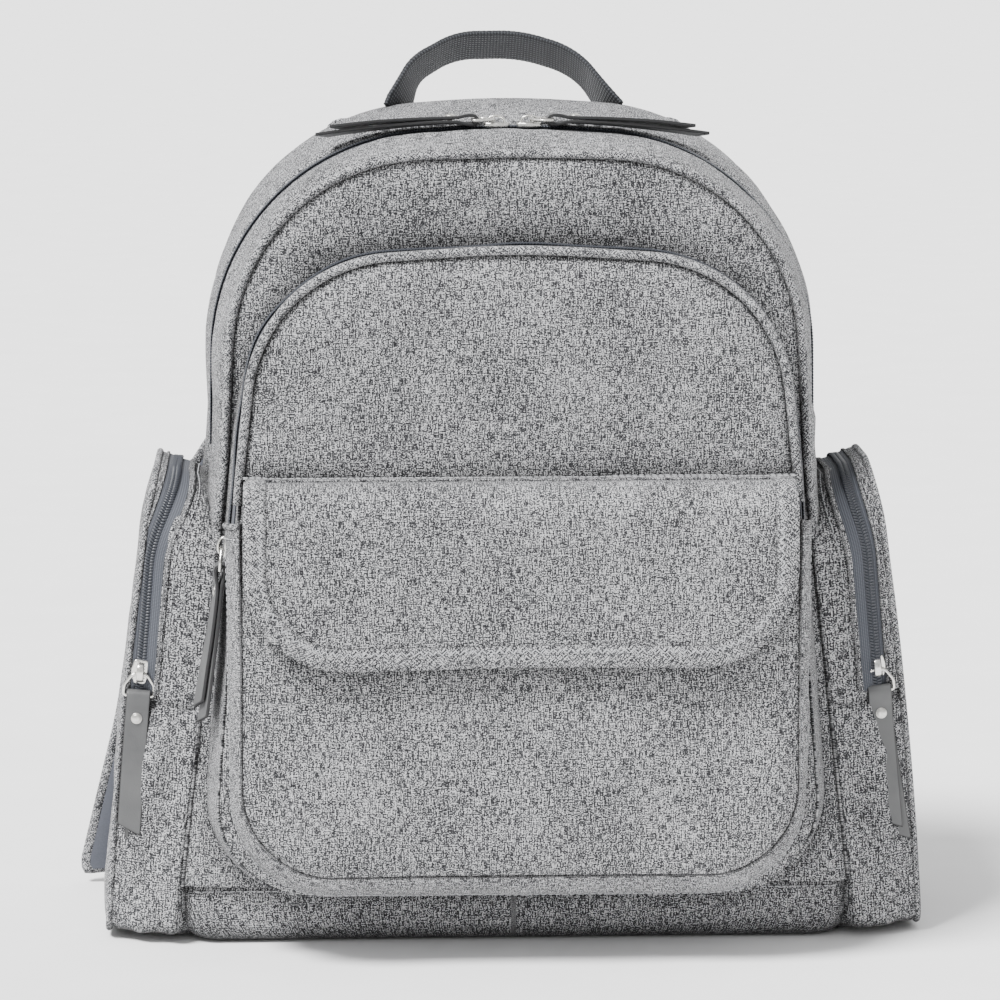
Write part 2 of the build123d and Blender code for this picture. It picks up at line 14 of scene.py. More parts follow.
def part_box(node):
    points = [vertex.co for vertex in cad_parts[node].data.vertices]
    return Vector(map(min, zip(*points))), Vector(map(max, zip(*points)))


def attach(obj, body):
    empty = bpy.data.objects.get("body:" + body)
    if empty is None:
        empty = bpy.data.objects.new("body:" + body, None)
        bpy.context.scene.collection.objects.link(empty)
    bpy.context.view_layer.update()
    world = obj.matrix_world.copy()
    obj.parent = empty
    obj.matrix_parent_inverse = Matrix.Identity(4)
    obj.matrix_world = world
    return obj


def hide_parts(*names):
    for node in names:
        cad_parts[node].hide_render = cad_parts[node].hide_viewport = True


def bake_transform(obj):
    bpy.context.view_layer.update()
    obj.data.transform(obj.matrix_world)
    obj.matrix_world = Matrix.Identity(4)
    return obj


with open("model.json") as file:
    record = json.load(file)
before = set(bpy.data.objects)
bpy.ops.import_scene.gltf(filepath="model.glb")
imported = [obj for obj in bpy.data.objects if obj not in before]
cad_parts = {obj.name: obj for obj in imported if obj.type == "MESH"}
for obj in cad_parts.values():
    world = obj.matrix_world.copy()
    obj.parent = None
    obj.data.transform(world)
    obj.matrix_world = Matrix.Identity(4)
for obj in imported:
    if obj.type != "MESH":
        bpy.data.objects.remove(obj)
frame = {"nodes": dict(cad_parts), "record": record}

Array = NDArray[np.float64]
LOG = logging.getLogger("backpack")
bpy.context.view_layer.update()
MM = 0.001
UV_UNIT = 100.0
WAVE = np.pi / 10


# ---------------------------------------------------------------- measures and curves


def corners(node: str) -> tuple[Array, Array]:
    """Lowest and highest corner of a frame node in millimetres.

    Args:
        node: Name of the node.

    Returns:
        The two corners.
    """
    low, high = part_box(node)
    return np.array(low) / MM, np.array(high) / MM


def unit(vectors: Array) -> Array:
    """Vectors scaled to length one."""
    return vectors / np.maximum(np.linalg.norm(vectors, axis=-1, keepdims=True), 1e-9)


def resample(path: Array, count: int) -> Array:
    """Points evenly spaced by arc length along a polyline.

    Args:
        path: Polyline points, one per row.
        count: Number of points wanted.

    Returns:
        The new points.
    """
    steps = np.linalg.norm(np.diff(path, axis=0), axis=1)
    along = np.concatenate([[0.0], np.cumsum(steps)])
    wanted = np.linspace(0.0, along[-1], count)
    columns = [np.interp(wanted, along, path[:, k]) for k in range(path.shape[1])]
    return np.stack(columns, axis=1)


def rounded(points: Sequence[tuple], radii: Sequence[float], count: int) -> Array:
    """Open polyline with its inner corners rounded by tangent arcs.

    Each corner is cut back by radius times the tangent of half its turn, and the arc
    between the two cuts is drawn about the centre on the bisector.

    Args:
        points: Corner points in a plane.
        radii: One radius for each inner corner.
        count: Number of points returned, evenly spaced.

    Returns:
        Points along the rounded line.
    """
    line = np.array(points, float)
    pieces = [line[:1]]
    for before, corner, after, radius in zip(line[:-2], line[1:-1], line[2:], radii):
        back, onward = unit(before - corner), unit(after - corner)
        half_turn = (np.pi - np.arccos(np.clip(back @ onward, -1, 1))) / 2
        if half_turn < 1e-3 or radius <= 0:
            pieces.append(corner[None])
            continue
        cut = radius * np.tan(half_turn)
        middle = corner + unit(back + onward) * radius / np.cos(half_turn)
        start = corner + back * cut - middle
        sideways = -back
        angle = np.linspace(0, 2 * half_turn, 25)[:, None]
        pieces.append(middle + start * np.cos(angle) + sideways * radius * np.sin(angle))
    pieces.append(line[-1:])
    return resample(np.concatenate(pieces), count)


def length_along(path: Array) -> Array:
    """Arc length from the start of a polyline to each of its points."""
    steps = np.linalg.norm(np.diff(path, axis=0), axis=-1)
    return np.concatenate([[0.0], np.cumsum(steps)])


def swell(u: Array, v: Array, size: float, seed: int, waves: int = 7) -> Array:
    """Soft unevenness of cloth: a sum of sine waves with set directions and phases.

    Args:
        u: First coordinate in millimetres.
        v: Second coordinate in millimetres.
        size: Rough length of one wave.
        seed: Number that picks the directions.
        waves: How many waves are added.

    Returns:
        Heights between about -1 and 1.
    """
    draw = np.random.default_rng(seed)
    total = np.zeros(np.broadcast(u, v).shape)
    for _ in range(waves):
        angle, phase = draw.uniform(0, 2 * np.pi, 2)
        rate = 2 * np.pi / (size * draw.uniform(0.7, 1.6))
        total = total + np.sin(rate * (u * np.cos(angle) + v * np.sin(angle)) + phase)
    return total / np.sqrt(waves) * 0.7


def crease(u: Array, v: Array, start: tuple, end: tuple, width: float) -> Array:
    """A fold along a line: one on the line, falling off as a bell across it and at its ends.

    Args:
        u: First coordinate.
        v: Second coordinate.
        start: Where the fold begins.
        end: Where it ends.
        width: Half width of the bell.

    Returns:
        Values from 0 to 1.
    """
    a, b = np.array(start, float), np.array(end, float)
    run = b - a
    t = ((u - a[0]) * run[0] + (v - a[1]) * run[1]) / (run @ run)
    clipped = np.clip(t, 0, 1)
    off = np.hypot(u - a[0] - clipped * run[0], v - a[1] - clipped * run[1])
    ends = np.sin(np.pi * np.clip(0.08 + 0.84 * t, 0, 1))
    return np.exp(-((off / width) ** 2)) * ends


def smooth_step(x: Array, low: float, high: float) -> Array:
    """Eased ramp from 0 at low to 1 at high."""
    t = np.clip((x - low) / (high - low), 0, 1)
    return t * t * (3 - 2 * t)


# ---------------------------------------------------------------- meshes from grids


def add_mesh(name: str, points: Array, faces: Array | list, uv: Array | None = None) -> bpy.types.Object:
    """Mesh object from arrays, in metres, smooth shaded.

    Args:
        name: Name of the piece.
        points: Vertices in millimetres.
        faces: Vertex numbers, one face per row, or a list when their sizes differ.
        uv: Surface coordinates in millimetres, one per vertex.

    Returns:
        The new object.
    """
    mesh = bpy.data.meshes.new(name)
    mesh.from_pydata((points * MM).tolist(), [], faces if isinstance(faces, list) else faces.tolist())
    if uv is not None:
        layer = mesh.uv_layers.new(name="cloth")
        loops = np.empty(len(mesh.loops), np.int32)
        mesh.loops.foreach_get("vertex_index", loops)
        layer.data.foreach_set("uv", (uv[loops] / UV_UNIT).astype(np.float32).ravel())
    mesh.polygons.foreach_set("use_smooth", np.ones(len(mesh.polygons), bool))
    mesh.update()
    piece = bpy.data.objects.new(name, mesh)
    bpy.context.scene.collection.objects.link(piece)
    return piece


def grid_faces(rows: int, columns: int, wrap_rows: bool = False, wrap_columns: bool = False) -> Array:
    """Quads of a grid of vertices numbered row by row.

    Args:
        rows: Number of rows.
        columns: Number of columns.
        wrap_rows: Join the last row to the first.
        wrap_columns: Join the last column to the first.

    Returns:
        Vertex numbers, four per face.
    """
    i = np.arange(rows if wrap_rows else rows - 1)[:, None]
    j = np.arange(columns if wrap_columns else columns - 1)[None, :]
    i2, j2 = (i + 1) % rows, (j + 1) % columns
    quads = np.stack([i * columns + j, i * columns + j2, i2 * columns + j2, i2 * columns + j], -1)
    return quads.reshape(-1, 4)


def put_grid(name: str, grid: Array, uv: Array | None = None, **wraps: bool) -> bpy.types.Object:
    """Mesh object from a grid of points.

    Args:
        name: Name of the piece.
        grid: Points as rows by columns by 3, in millimetres.
        uv: Surface coordinates as rows by columns by 2.
        **wraps: wrap_rows and wrap_columns, as in grid_faces.

    Returns:
        The new object.
    """
    rows, columns = grid.shape[:2]
    faces = grid_faces(rows, columns, **wraps)
    flat = None if uv is None else uv.reshape(-1, 2)
    return add_mesh(name, grid.reshape(-1, 3), faces, flat)


def weld(piece: bpy.types.Object, distance: float = 0.02, outward: bool = True) -> None:
    """Merges vertices that meet, and points the faces outwards.

    Args:
        piece: Mesh object.
        distance: Merge distance in millimetres.
        outward: Recalculate the normals.
    """
    work = bmesh.new()
    work.from_mesh(piece.data)
    bmesh.ops.remove_doubles(work, verts=work.verts, dist=distance * MM)
    bmesh.ops.dissolve_degenerate(work, dist=1e-7, edges=work.edges)
    if outward:
        bmesh.ops.recalc_face_normals(work, faces=work.faces)
    work.to_mesh(piece.data)
    work.free()
    piece.data.update()


def thicken(piece: bpy.types.Object, amount: float, inward: bool = True) -> None:
    """Gives a sheet its thickness, kept as a live modifier.

    Args:
        piece: Mesh object.
        amount: Thickness in millimetres.
        inward: Grow against the normals, so that the shown face stays put.
    """
    solid = piece.modifiers.new("thickness", "SOLIDIFY")
    solid.thickness = amount * MM
    solid.offset = -1.0 if inward else 1.0
    solid.use_even_offset = False


def sweep(path: Array, normal: Array, profile: Array, closed: bool = False) -> Array:
    """A closed profile carried along a path.

    Each point is path + a * normal + b * (tangent x normal), for profile points (a, b).

    Args:
        path: Path points.
        normal: Direction of the profile's first axis at each point, or one for all.
        profile: Profile points, or one profile per path point.
        closed: The path is a loop.

    Returns:
        Grid of points, path by profile by 3.
    """
    if closed:
        tangent = unit(np.roll(path, -1, 0) - np.roll(path, 1, 0))
    else:
        tangent = unit(np.gradient(path, axis=0))
    across = np.broadcast_to(normal, path.shape)
    across = unit(across - tangent * np.sum(across * tangent, -1, keepdims=True))
    side = np.cross(tangent, across)
    shape = np.broadcast_to(profile, (len(path),) + profile.shape[-2:])
    return path[:, None] + shape[..., :1] * across[:, None] + shape[..., 1:] * side[:, None]


def ring_profile(a: float, b: float, power: float = 2.0, count: int = 12) -> Array:
    """Closed superellipse with half widths a and b.

    Args:
        a: Half width along the first axis.
        b: Half width along the second axis.
        power: 2 is an ellipse, more is squarer.
        count: Number of points.

    Returns:
        Points round the section.
    """
    angle = np.linspace(0, 2 * np.pi, count, endpoint=False)
    c, s = np.cos(angle), np.sin(angle)
    return np.stack(
        [a * np.sign(c) * np.abs(c) ** (2 / power), b * np.sign(s) * np.abs(s) ** (2 / power)], 1
    )


def put_sweep(
    name: str, path: Array, normal: Array, profile: Array, closed: bool = False
) -> bpy.types.Object:
    """Swept piece with closed ends and cloth coordinates along and round it.

    Args:
        name: Name of the piece.
        path: Path points in millimetres.
        normal: Profile direction, as in sweep.
        profile: Closed profile.
        closed: The path is a loop.

    Returns:
        The new object.
    """
    grid = sweep(path, normal, profile, closed)
    along = length_along(path)
    last = profile if profile.ndim == 2 else profile[0]
    round_it = length_along(last)
    uv = np.stack(np.broadcast_arrays(round_it[None, :], along[:, None]), -1)
    faces = grid_faces(len(path), grid.shape[1], closed, True).tolist()
    columns = grid.shape[1]
    if not closed:
        first = (len(path) - 1) * columns
        faces.append(list(range(columns))[::-1])
        faces.append(list(range(first, first + columns)))
    piece = add_mesh(name, grid.reshape(-1, 3), faces, uv.reshape(-1, 2))
    weld(piece, 0.001)
    return piece


def scatter(name: str, at: Array, along: Array, up: Array, shape: Array, faces: Array) -> bpy.types.Object:
    """Many small copies of one shape as a single mesh.

    A copy's point is at + x * along + y * up + z * (along x up).

    Args:
        name: Name of the piece.
        at: Place of each copy.
        along: First axis of each copy.
        up: Second axis of each copy.
        shape: Points of the shape in its own axes.
        faces: Faces of the shape.

    Returns:
        The new object.
    """
    first = unit(along)
    second = unit(up - first * np.sum(up * first, -1, keepdims=True))
    third = np.cross(first, second)
    spread = np.einsum("pk,nkd->npd", shape, np.stack([first, second, third], 1))
    points = (at[:, None] + spread).reshape(-1, 3)
    shifts = (np.arange(len(at)) * len(shape))[:, None, None]
    return add_mesh(name, points, (faces[None] + shifts).reshape(-1, faces.shape[1]))


def capsule(length: float, radius: float) -> tuple[Array, Array]:
    """Small thread stitch: four rings of six points that taper at both ends.

    Args:
        length: Length along its first axis.
        radius: Thickness.

    Returns:
        Points and faces.
    """
    x = np.array([-0.5, -0.3, 0.3, 0.5])[:, None] * length
    wide = np.array([0.35, 1.0, 1.0, 0.35])[:, None] * radius
    angle = np.linspace(0, 2 * np.pi, 6, endpoint=False)[None]
    grid = np.stack(np.broadcast_arrays(x, wide * np.cos(angle), wide * np.sin(angle)), -1)
    return grid.reshape(-1, 3), grid_faces(4, 6, False, True)[:, ::-1]


# ---------------------------------------------------------------- finishes


class Graph:
    """Short way to lay out a material's nodes."""

    def __init__(self, name: str) -> None:
        """Starts an empty node material with a Principled shader."""
        self.material = bpy.data.materials.new(name)
        self.material.use_nodes = True
        self.tree = self.material.node_tree
        self.shader = self.tree.nodes["Principled BSDF"]

    def add(self, kind: str, inputs: dict | None = None, **settings: object) -> bpy.types.Node:
        """Adds one node.

        Args:
            kind: Node type without its ShaderNode prefix.
            inputs: Socket name or number to a value or another node's output.
            **settings: Properties of the node.

        Returns:
            The node.
        """
        node = self.tree.nodes.new("ShaderNode" + kind)
        for key, value in settings.items():
            setattr(node, key, value)
        for key, value in (inputs or {}).items():
            if isinstance(value, bpy.types.NodeSocket):
                self.tree.links.new(value, node.inputs[key])
            else:
                node.inputs[key].default_value = value
        return node

    def math(self, operation: str, a: object, b: object = 0.0) -> bpy.types.NodeSocket:
        """Result of one sum on two values or sockets."""
        return self.add("Math", {0: a, 1: b}, operation=operation).outputs[0]

    def cloth(self, scale: tuple, turn: float = 0.0) -> bpy.types.NodeSocket:
        """The piece's own surface coordinates in millimetres, turned and then scaled."""
        place = self.add("UVMap", uv_map="cloth").outputs[0]
        size = {"Vector": place, "Scale": (UV_UNIT,) * 3, "Rotation": (0, 0, turn)}
        turned = self.add("Mapping", size).outputs[0]
        return self.add("Mapping", {"Vector": turned, "Scale": scale}).outputs[0]

    def local(self, scale: tuple) -> bpy.types.NodeSocket:
        """Object coordinates in millimetres, scaled."""
        place = self.add("TexCoord").outputs["Object"]
        size = {"Vector": place, "Scale": tuple(s / MM for s in scale)}
        return self.add("Mapping", size).outputs[0]

    def noise(
        self, vector: bpy.types.NodeSocket, detail: float = 2.0, rough: float = 0.5
    ) -> bpy.types.NodeSocket:
        """Noise with one cell per unit of the vector."""
        given = {"Vector": vector, "Scale": 1.0, "Detail": detail, "Roughness": rough}
        return self.add("TexNoise", given).outputs[0]

    def ramp(self, value: bpy.types.NodeSocket, stops: Sequence[tuple]) -> bpy.types.NodeSocket:
        """Colour ramp with stops of (place, colour)."""
        node = self.add("ValToRGB", {0: value})
        elements = node.color_ramp.elements
        while len(elements) < len(stops):
            elements.new(0.5)
        for element, (place, colour) in zip(elements, stops):
            element.position = place
            element.color = (*colour, 1.0)
        return node.outputs[0]

    def blend(
        self, share: bpy.types.NodeSocket, low: tuple, high: bpy.types.NodeSocket
    ) -> bpy.types.NodeSocket:
        """Colour that goes from low to high as the share goes from 0 to 1."""
        given = {"Factor": share, "A": (*low, 1.0), "B": high}
        node = self.tree.nodes.new("ShaderNodeMix")
        node.data_type = "RGBA"
        for key, value in given.items():
            socket = next(s for s in node.inputs if s.name == key and s.enabled)
            if isinstance(value, bpy.types.NodeSocket):
                self.tree.links.new(value, socket)
            else:
                socket.default_value = value
        return next(s for s in node.outputs if s.enabled)

    def paint_crevice_shade(
        self, colour: bpy.types.NodeSocket, reach: float = 11.0, keep: float = 0.22
    ) -> bpy.types.NodeSocket:
        """Colour darkened by painted shade in folds and seams, taken from an ambient occlusion node.

        Args:
            colour: Colour to shade.
            reach: Width of the shade in millimetres.
            keep: Share of the colour kept in the deepest place.

        Returns:
            The shaded colour.
        """
        # Painted shade: the ambient occlusion factor scales the colour down in folds and seams.
        open_sky = self.add("AmbientOcclusion", {"Distance": reach * MM}, samples=4).outputs["AO"]
        curved = self.math("POWER", open_sky, 1.4)
        share = self.math("ADD", self.math("MULTIPLY", curved, 1 - keep), keep)
        scaled = self.add("VectorMath", {0: colour}, operation="SCALE")
        self.tree.links.new(share, scaled.inputs["Scale"])
        return scaled.outputs[0]

    def bump(
        self, height: bpy.types.NodeSocket, depth: float, below: bpy.types.NodeSocket | None = None
    ) -> bpy.types.NodeSocket:
        """Bump of a depth in millimetres, on top of another bump."""
        given = {"Height": height, "Distance": depth * MM, "Strength": 1.0}
        if below is not None:
            given["Normal"] = below
        return self.add("Bump", given).outputs[0]

    def finish(
        self, colour: object, normal: bpy.types.NodeSocket | None, **values: object
    ) -> bpy.types.Material:
        """Links colour and normal, and sets the shader's own sockets.

        Args:
            colour: Colour or socket.
            normal: Bump socket.
            **values: Socket names with underscores for spaces, and their values.

        Returns:
            The material.
        """
        if isinstance(colour, bpy.types.NodeSocket):
            self.tree.links.new(colour, self.shader.inputs["Base Color"])
        else:
            self.shader.inputs["Base Color"].default_value = (*colour, 1.0)
        if normal is not None:
            self.tree.links.new(normal, self.shader.inputs["Normal"])
        for key, value in values.items():
            socket = self.shader.inputs[key.replace("_", " ")]
            if isinstance(value, bpy.types.NodeSocket):
                self.tree.links.new(value, socket)
            else:
                socket.default_value = value
        return self.material


class Weave(Enum):
    """Way the threads of a heather cloth lie on the piece."""

    STRAIGHT = 0.0
    BIAS = 0.785


@dataclass(frozen=True)
class Heather:
    """Melange polyester: light and dark yarns crossing, each uneven along its length."""

    name: str
    dark: tuple = (0.012, 0.012, 0.014)
    middle: tuple = (0.070, 0.071, 0.075)
    light: tuple = (0.50, 0.50, 0.51)
    weave: Weave = Weave.STRAIGHT
    pitch: float = 0.62
    depth: float = 0.2
    contrast: float = 1.15

    def material(self) -> bpy.types.Material:
        """Builds the node material: specks on the threads, streaks along them, slow clouds, and painted
        shade in folds and seams.
        """
        g = Graph(self.name)
        turn = self.weave.value
        fine = 1.0 / self.pitch
        layers = [
            (g.noise(g.cloth((fine * 0.95, fine * 0.95, 1), turn), 0.0), 2.0),
            (g.noise(g.cloth((fine * 1.1, 0.22, 1), turn), 0.0), 1.15),
            (g.noise(g.cloth((0.26, fine * 1.1, 1), turn), 0.0), 0.75),
            (g.noise(g.cloth((0.42, 0.045, 1), turn), 1.0), 0.14),
            (g.noise(g.cloth((0.035, 0.3, 1), turn), 1.0), 0.09),
            (g.noise(g.cloth((0.03, 0.02, 1), turn), 2.0), 0.34),
        ]
        total, weight = None, sum(share for _, share in layers)
        for layer, share in layers:
            part = g.math("MULTIPLY", layer, share)
            total = part if total is None else g.math("ADD", total, part)
        centred = g.math("SUBTRACT", total, weight / 2)
        level = g.math("ADD", g.math("MULTIPLY", centred, self.contrast), 0.5)
        colour = g.ramp(level, [(0.04, self.dark), (0.48, self.middle), (0.94, self.light)])
        over = g.add("TexWave", {"Vector": g.cloth((WAVE / self.pitch, 0, 1), turn), "Scale": 1.0})
        under = g.add(
            "TexWave", {
                "Vector": g.cloth((0, WAVE / self.pitch, 1), turn), "Scale": 1.0
            }, bands_direction="Y"
        )
        threads = g.math("MULTIPLY", over.outputs[1], under.outputs[1])
        speck = layers[0][0]
        surface = g.bump(g.math("ADD", g.math("MULTIPLY", threads, 0.6), speck), self.depth)
        rough = g.math("ADD", g.math("MULTIPLY", speck, 0.16), 0.78)
        # The cloth's colour is darkened with painted shade in folds and seams.
        return g.finish(
            g.paint_crevice_shade(colour), surface, Roughness=rough, Sheen_Weight=0.06, Sheen_Roughness=0.5,
            Specular_IOR_Level=0.2,
        )


@dataclass(frozen=True)
class Ribbed:
    """Woven narrow goods: webbing with cross ribs, or a fine herringbone zip tape."""

    name: str
    dark: tuple = (0.012, 0.013, 0.017)
    light: tuple = (0.105, 0.11, 0.12)
    rib: float = 1.6
    cord: float = 1.9
    depth: float = 0.35

    def material(self) -> bpy.types.Material:
        """Builds the node material."""
        g = Graph(self.name)
        along = g.add(
            "TexWave", {"Vector": g.cloth((0, WAVE / self.rib, 1)), "Scale": 1.0}, bands_direction="Y"
        )
        across = g.add("TexWave", {"Vector": g.cloth((WAVE / self.cord, 0, 1)), "Scale": 1.0})
        cells = g.math("MULTIPLY", along.outputs[1], across.outputs[1])
        fuzz = g.noise(g.cloth((2.5, 2.5, 1)), 2.0)
        shade = g.math("ADD", g.math("MULTIPLY", cells, 0.8), g.math("MULTIPLY", fuzz, 0.35))
        colour = g.ramp(shade, [(0.12, self.dark), (0.95, self.light)])
        surface = g.bump(g.math("ADD", cells, g.math("MULTIPLY", fuzz, 0.2)), self.depth)
        # Painted shade: the colour is darkened in folds and seams.
        shaded = g.paint_crevice_shade(colour, 4.0, 0.3)
        return g.finish(shaded, surface, Roughness=0.72, Sheen_Weight=0.1, Specular_IOR_Level=0.3)


@dataclass(frozen=True)
class Leather:
    """Coated leather: faint grain, faint handling marks."""

    name: str
    dark: tuple = (0.075, 0.076, 0.078)
    light: tuple = (0.105, 0.106, 0.107)
    edge: tuple = (0.012, 0.012, 0.013)
    rough: float = 0.46

    def material(self) -> bpy.types.Material:
        """Builds the node material."""
        g = Graph(self.name)
        grain = g.add("TexVoronoi", {"Vector": g.local((1.1, 1.1, 1.1)), "Scale": 1.0}).outputs[0]
        cloud = g.noise(g.local((0.06, 0.06, 0.06)), 3.0)
        colour = g.ramp(cloud, [(0.3, self.dark), (0.7, self.light)])
        to_edge = g.add("SeparateXYZ", {0: g.cloth((1, 1, 1))}).outputs[0]
        colour = g.blend(g.math("MULTIPLY", to_edge, 1.6), self.edge, colour)
        fine = g.noise(g.local((3.0, 3.0, 3.0)), 2.0)
        surface = g.bump(g.math("ADD", g.math("MULTIPLY", grain, 0.7), fine), 0.05)
        rough = g.math("ADD", g.math("MULTIPLY", cloud, 0.16), self.rough - 0.08)
        return g.finish(colour, surface, Roughness=rough, Specular_IOR_Level=0.45)


@dataclass(frozen=True)
class Plated:
    """Plated zinc: bright, with hairline wear and slightly cloudy reflections."""

    name: str
    colour: tuple = (0.74, 0.73, 0.70)
    rough: float = 0.24

    def material(self) -> bpy.types.Material:
        """Builds the node material."""
        g = Graph(self.name)
        wear = g.noise(g.local((0.9, 0.9, 0.9)), 4.0)
        scratch = g.noise(g.local((5.0, 0.6, 0.6)), 2.0)
        dull = tuple(c * 0.82 for c in self.colour)
        colour = g.ramp(wear, [(0.35, dull), (0.6, self.colour)])
        rough = g.math("ADD", g.math("MULTIPLY", wear, 0.2), self.rough - 0.1)
        surface = g.bump(g.math("ADD", scratch, wear), 0.02)
        return g.finish(colour, surface, Metallic=1.0, Roughness=rough)


@dataclass(frozen=True)
class Moulded:
    """Moulded or extruded plastic, or thread, with a fine uneven surface."""

    name: str
    colour: tuple = (0.03, 0.032, 0.036)
    rough: float = 0.42
    depth: float = 0.03

    def material(self) -> bpy.types.Material:
        """Builds the node material."""
        g = Graph(self.name)
        speckle = g.noise(g.local((1.5, 1.5, 1.5)), 3.0)
        pale = tuple(min(1.0, c * 1.35) for c in self.colour)
        colour = g.ramp(speckle, [(0.35, self.colour), (0.7, pale)])
        rough = g.math("ADD", g.math("MULTIPLY", speckle, 0.15), self.rough - 0.06)
        return g.finish(colour, g.bump(speckle, self.depth), Roughness=rough)


@dataclass(frozen=True)
class Mesh3d:
    """Spacer mesh: open round cells over dark foam."""

    name: str
    dark: tuple = (0.012, 0.013, 0.016)
    light: tuple = (0.10, 0.106, 0.12)
    cell: float = 2.6

    def material(self) -> bpy.types.Material:
        """Builds the node material."""
        g = Graph(self.name)
        size = 1.0 / self.cell
        cells = g.add(
            "TexVoronoi", {"Vector": g.cloth((size, size * 1.2, 1)), "Scale": 1.0, "Randomness": 0.15}
        ).outputs[0]
        fuzz = g.noise(g.cloth((3, 3, 1)), 2.0)
        depth = g.math("ADD", cells, g.math("MULTIPLY", fuzz, 0.2))
        colour = g.ramp(depth, [(0.3, self.dark), (0.62, self.light)])
        return g.finish(colour, g.bump(depth, 0.6), Roughness=0.85, Sheen_Weight=0.1)


class Kit:
    """The finishes of this bag, made once each and shared."""

    def __init__(self) -> None:
        """Builds every material."""
        slate_dark, slate_light = (0.035, 0.038, 0.047), (0.125, 0.135, 0.16)
        finishes = {
            "shell_fabric": Heather("heather_cloth"),
            "bias_binding": Heather("heather_bias", middle=(0.094, 0.095, 0.10), weave=Weave.BIAS),
            "strap_fabric": Heather("heather_strap"),
            "strap_inner": Moulded("slate_cloth", (0.045, 0.049, 0.062), 0.7, 0.06),
            "lining_fabric": Heather(
                "lining_cloth", (0.3, 0.31, 0.33), (0.42, 0.43, 0.45), (0.5, 0.5, 0.52)
            ),
            "back_mesh": Mesh3d("spacer_mesh"),
            "zip_tape": Ribbed("zip_tape", slate_dark, slate_light, 0.7, 0.9, 0.12),
            "webbing": Ribbed("slate_webbing", (0.008, 0.009, 0.012), (0.062, 0.066, 0.074)),
            "zip_coil": Moulded("coil_nylon", (0.032, 0.035, 0.043), 0.32),
            "zip_metal": Plated("nickel_plate"),
            "snap_metal": Plated("snap_plate", (0.42, 0.42, 0.42), 0.34),
            "rivet_metal": Plated("rivet_plate", (0.66, 0.65, 0.62), 0.36),
            "pull_leather": Leather("pull_leather"),
            "buckle_plastic": Moulded("buckle_plastic"),
            "foam": Moulded("foam", (0.4, 0.4, 0.4), 0.9, 0.2),
            "base_board": Moulded("base_board", (0.06, 0.06, 0.06), 0.7, 0.1),
            "thread": Moulded("grey_thread", (0.40, 0.405, 0.42), 0.6),
            "thread_dark": Moulded("slate_thread", (0.10, 0.105, 0.12), 0.6),
        }
        self.made = {key: finish.material() for key, finish in finishes.items()}

    def dress(
        self, piece: bpy.types.Object, finish: str, body: str, slot: str = "", *nodes: str
    ) -> bpy.types.Object:
        """Gives a piece its material, body, slot and the nodes that it stands for.

        Args:
            piece: The new piece.
            finish: Which finish of this kit.
            body: Body that it rides on.
            slot: Record slot, if it differs from the finish; not used.
            *nodes: Nodes that it replaces.

        Returns:
            The piece.
        """
        piece.data.materials.clear()
        piece.data.materials.append(self.made[finish])
        if body:
            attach(piece, body)
        if nodes:
            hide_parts(*nodes)
        LOG.info("%s: %s on %s", piece.name, finish, body)
        return piece

    def sew(self, name: str, path: Array, up: Array, *sizes: float) -> None:
        """Row of stitches in pale thread on the bag's cloth.

        Args:
            name: Name of the row.
            path: Path points.
            up: Away from the cloth.
            *sizes: Pitch, length and radius, as in stitches.
        """
        self.dress(stitches(name, path, up, *sizes), "thread", "bag", "shell_fabric")


# ---------------------------------------------------------------- stage


@dataclass
class Studio:
    """Pale floor, soft light from above and the front, and a long lens."""

    distance: float = 2200.0
    elevation: float = 9.0
    turn: float = 2.4
    target: tuple = (-5.5, 0.0, 211.6)
    view_width: float = 500.0
    surround: float = 0.95

    def build(self) -> None:
        """Makes the floor, the lights and the camera."""
        self.floor()
        self.lights()
        self.camera()

    def camera(self) -> None:
        """Camera on a sphere about the target, the lens set by the width seen at the target."""
        e, a = np.radians(self.elevation), np.radians(self.turn)
        forward = np.array([np.sin(a) * np.cos(e), np.cos(a) * np.cos(e), -np.sin(e)])
        place = (np.array(self.target) - forward * self.distance) * MM
        data = bpy.data.cameras.new("camera")
        data.lens = self.distance / self.view_width * data.sensor_width
        data.clip_end = 50.0
        camera = bpy.data.objects.new("camera", data)
        camera.location = place
        camera.rotation_mode = "QUATERNION"
        camera.rotation_quaternion = Vector(forward).to_track_quat("-Z", "Y")
        bpy.context.scene.collection.objects.link(camera)
        bpy.context.scene.camera = camera

    def floor(self) -> None:
        """Wide, level, pale floor."""
        side = np.array([-30000.0, 30000.0])
        grid = np.stack(np.broadcast_arrays(side[:, None], side[None], -0.2), -1)
        floor = put_grid("studio_floor", grid)
        g = Graph("studio_paper")
        grain = g.noise(g.local((0.02, 0.02, 0.02)), 2.0)
        colour = g.ramp(grain, [(0.3, (0.90, 0.90, 0.90)), (0.7, (0.93, 0.93, 0.93))])
        floor.data.materials.append(g.finish(colour, None, Roughness=0.9))
        turn_to(floor, (0, 0, 1))

    def lights(self) -> None:
        """Broad key from the upper left, weak rim from behind, and an even pale surround."""
        for name, aim, angle, power in (
            ("key", (0.46, 0.34, -0.90), 18.0, 7.6),
            ("rim", (-0.5, -0.6, -0.6), 50.0, 0.6),
        ):
            data = bpy.data.lights.new(name, "SUN")
            data.angle, data.energy = np.radians(angle), power
            lamp = bpy.data.objects.new(name, data)
            lamp.location = (0, 0, 2)
            lamp.rotation_mode = "QUATERNION"
            lamp.rotation_quaternion = Vector(aim).to_track_quat("-Z", "Y")
            bpy.context.scene.collection.objects.link(lamp)
        world = bpy.data.worlds.new("surround")
        world.use_nodes = True
        world.node_tree.nodes["Background"].inputs[0].default_value = (1, 1, 1, 1)
        world.node_tree.nodes["Background"].inputs[1].default_value = self.surround
        bpy.context.scene.world = world


# ---------------------------------------------------------------- the bag's body


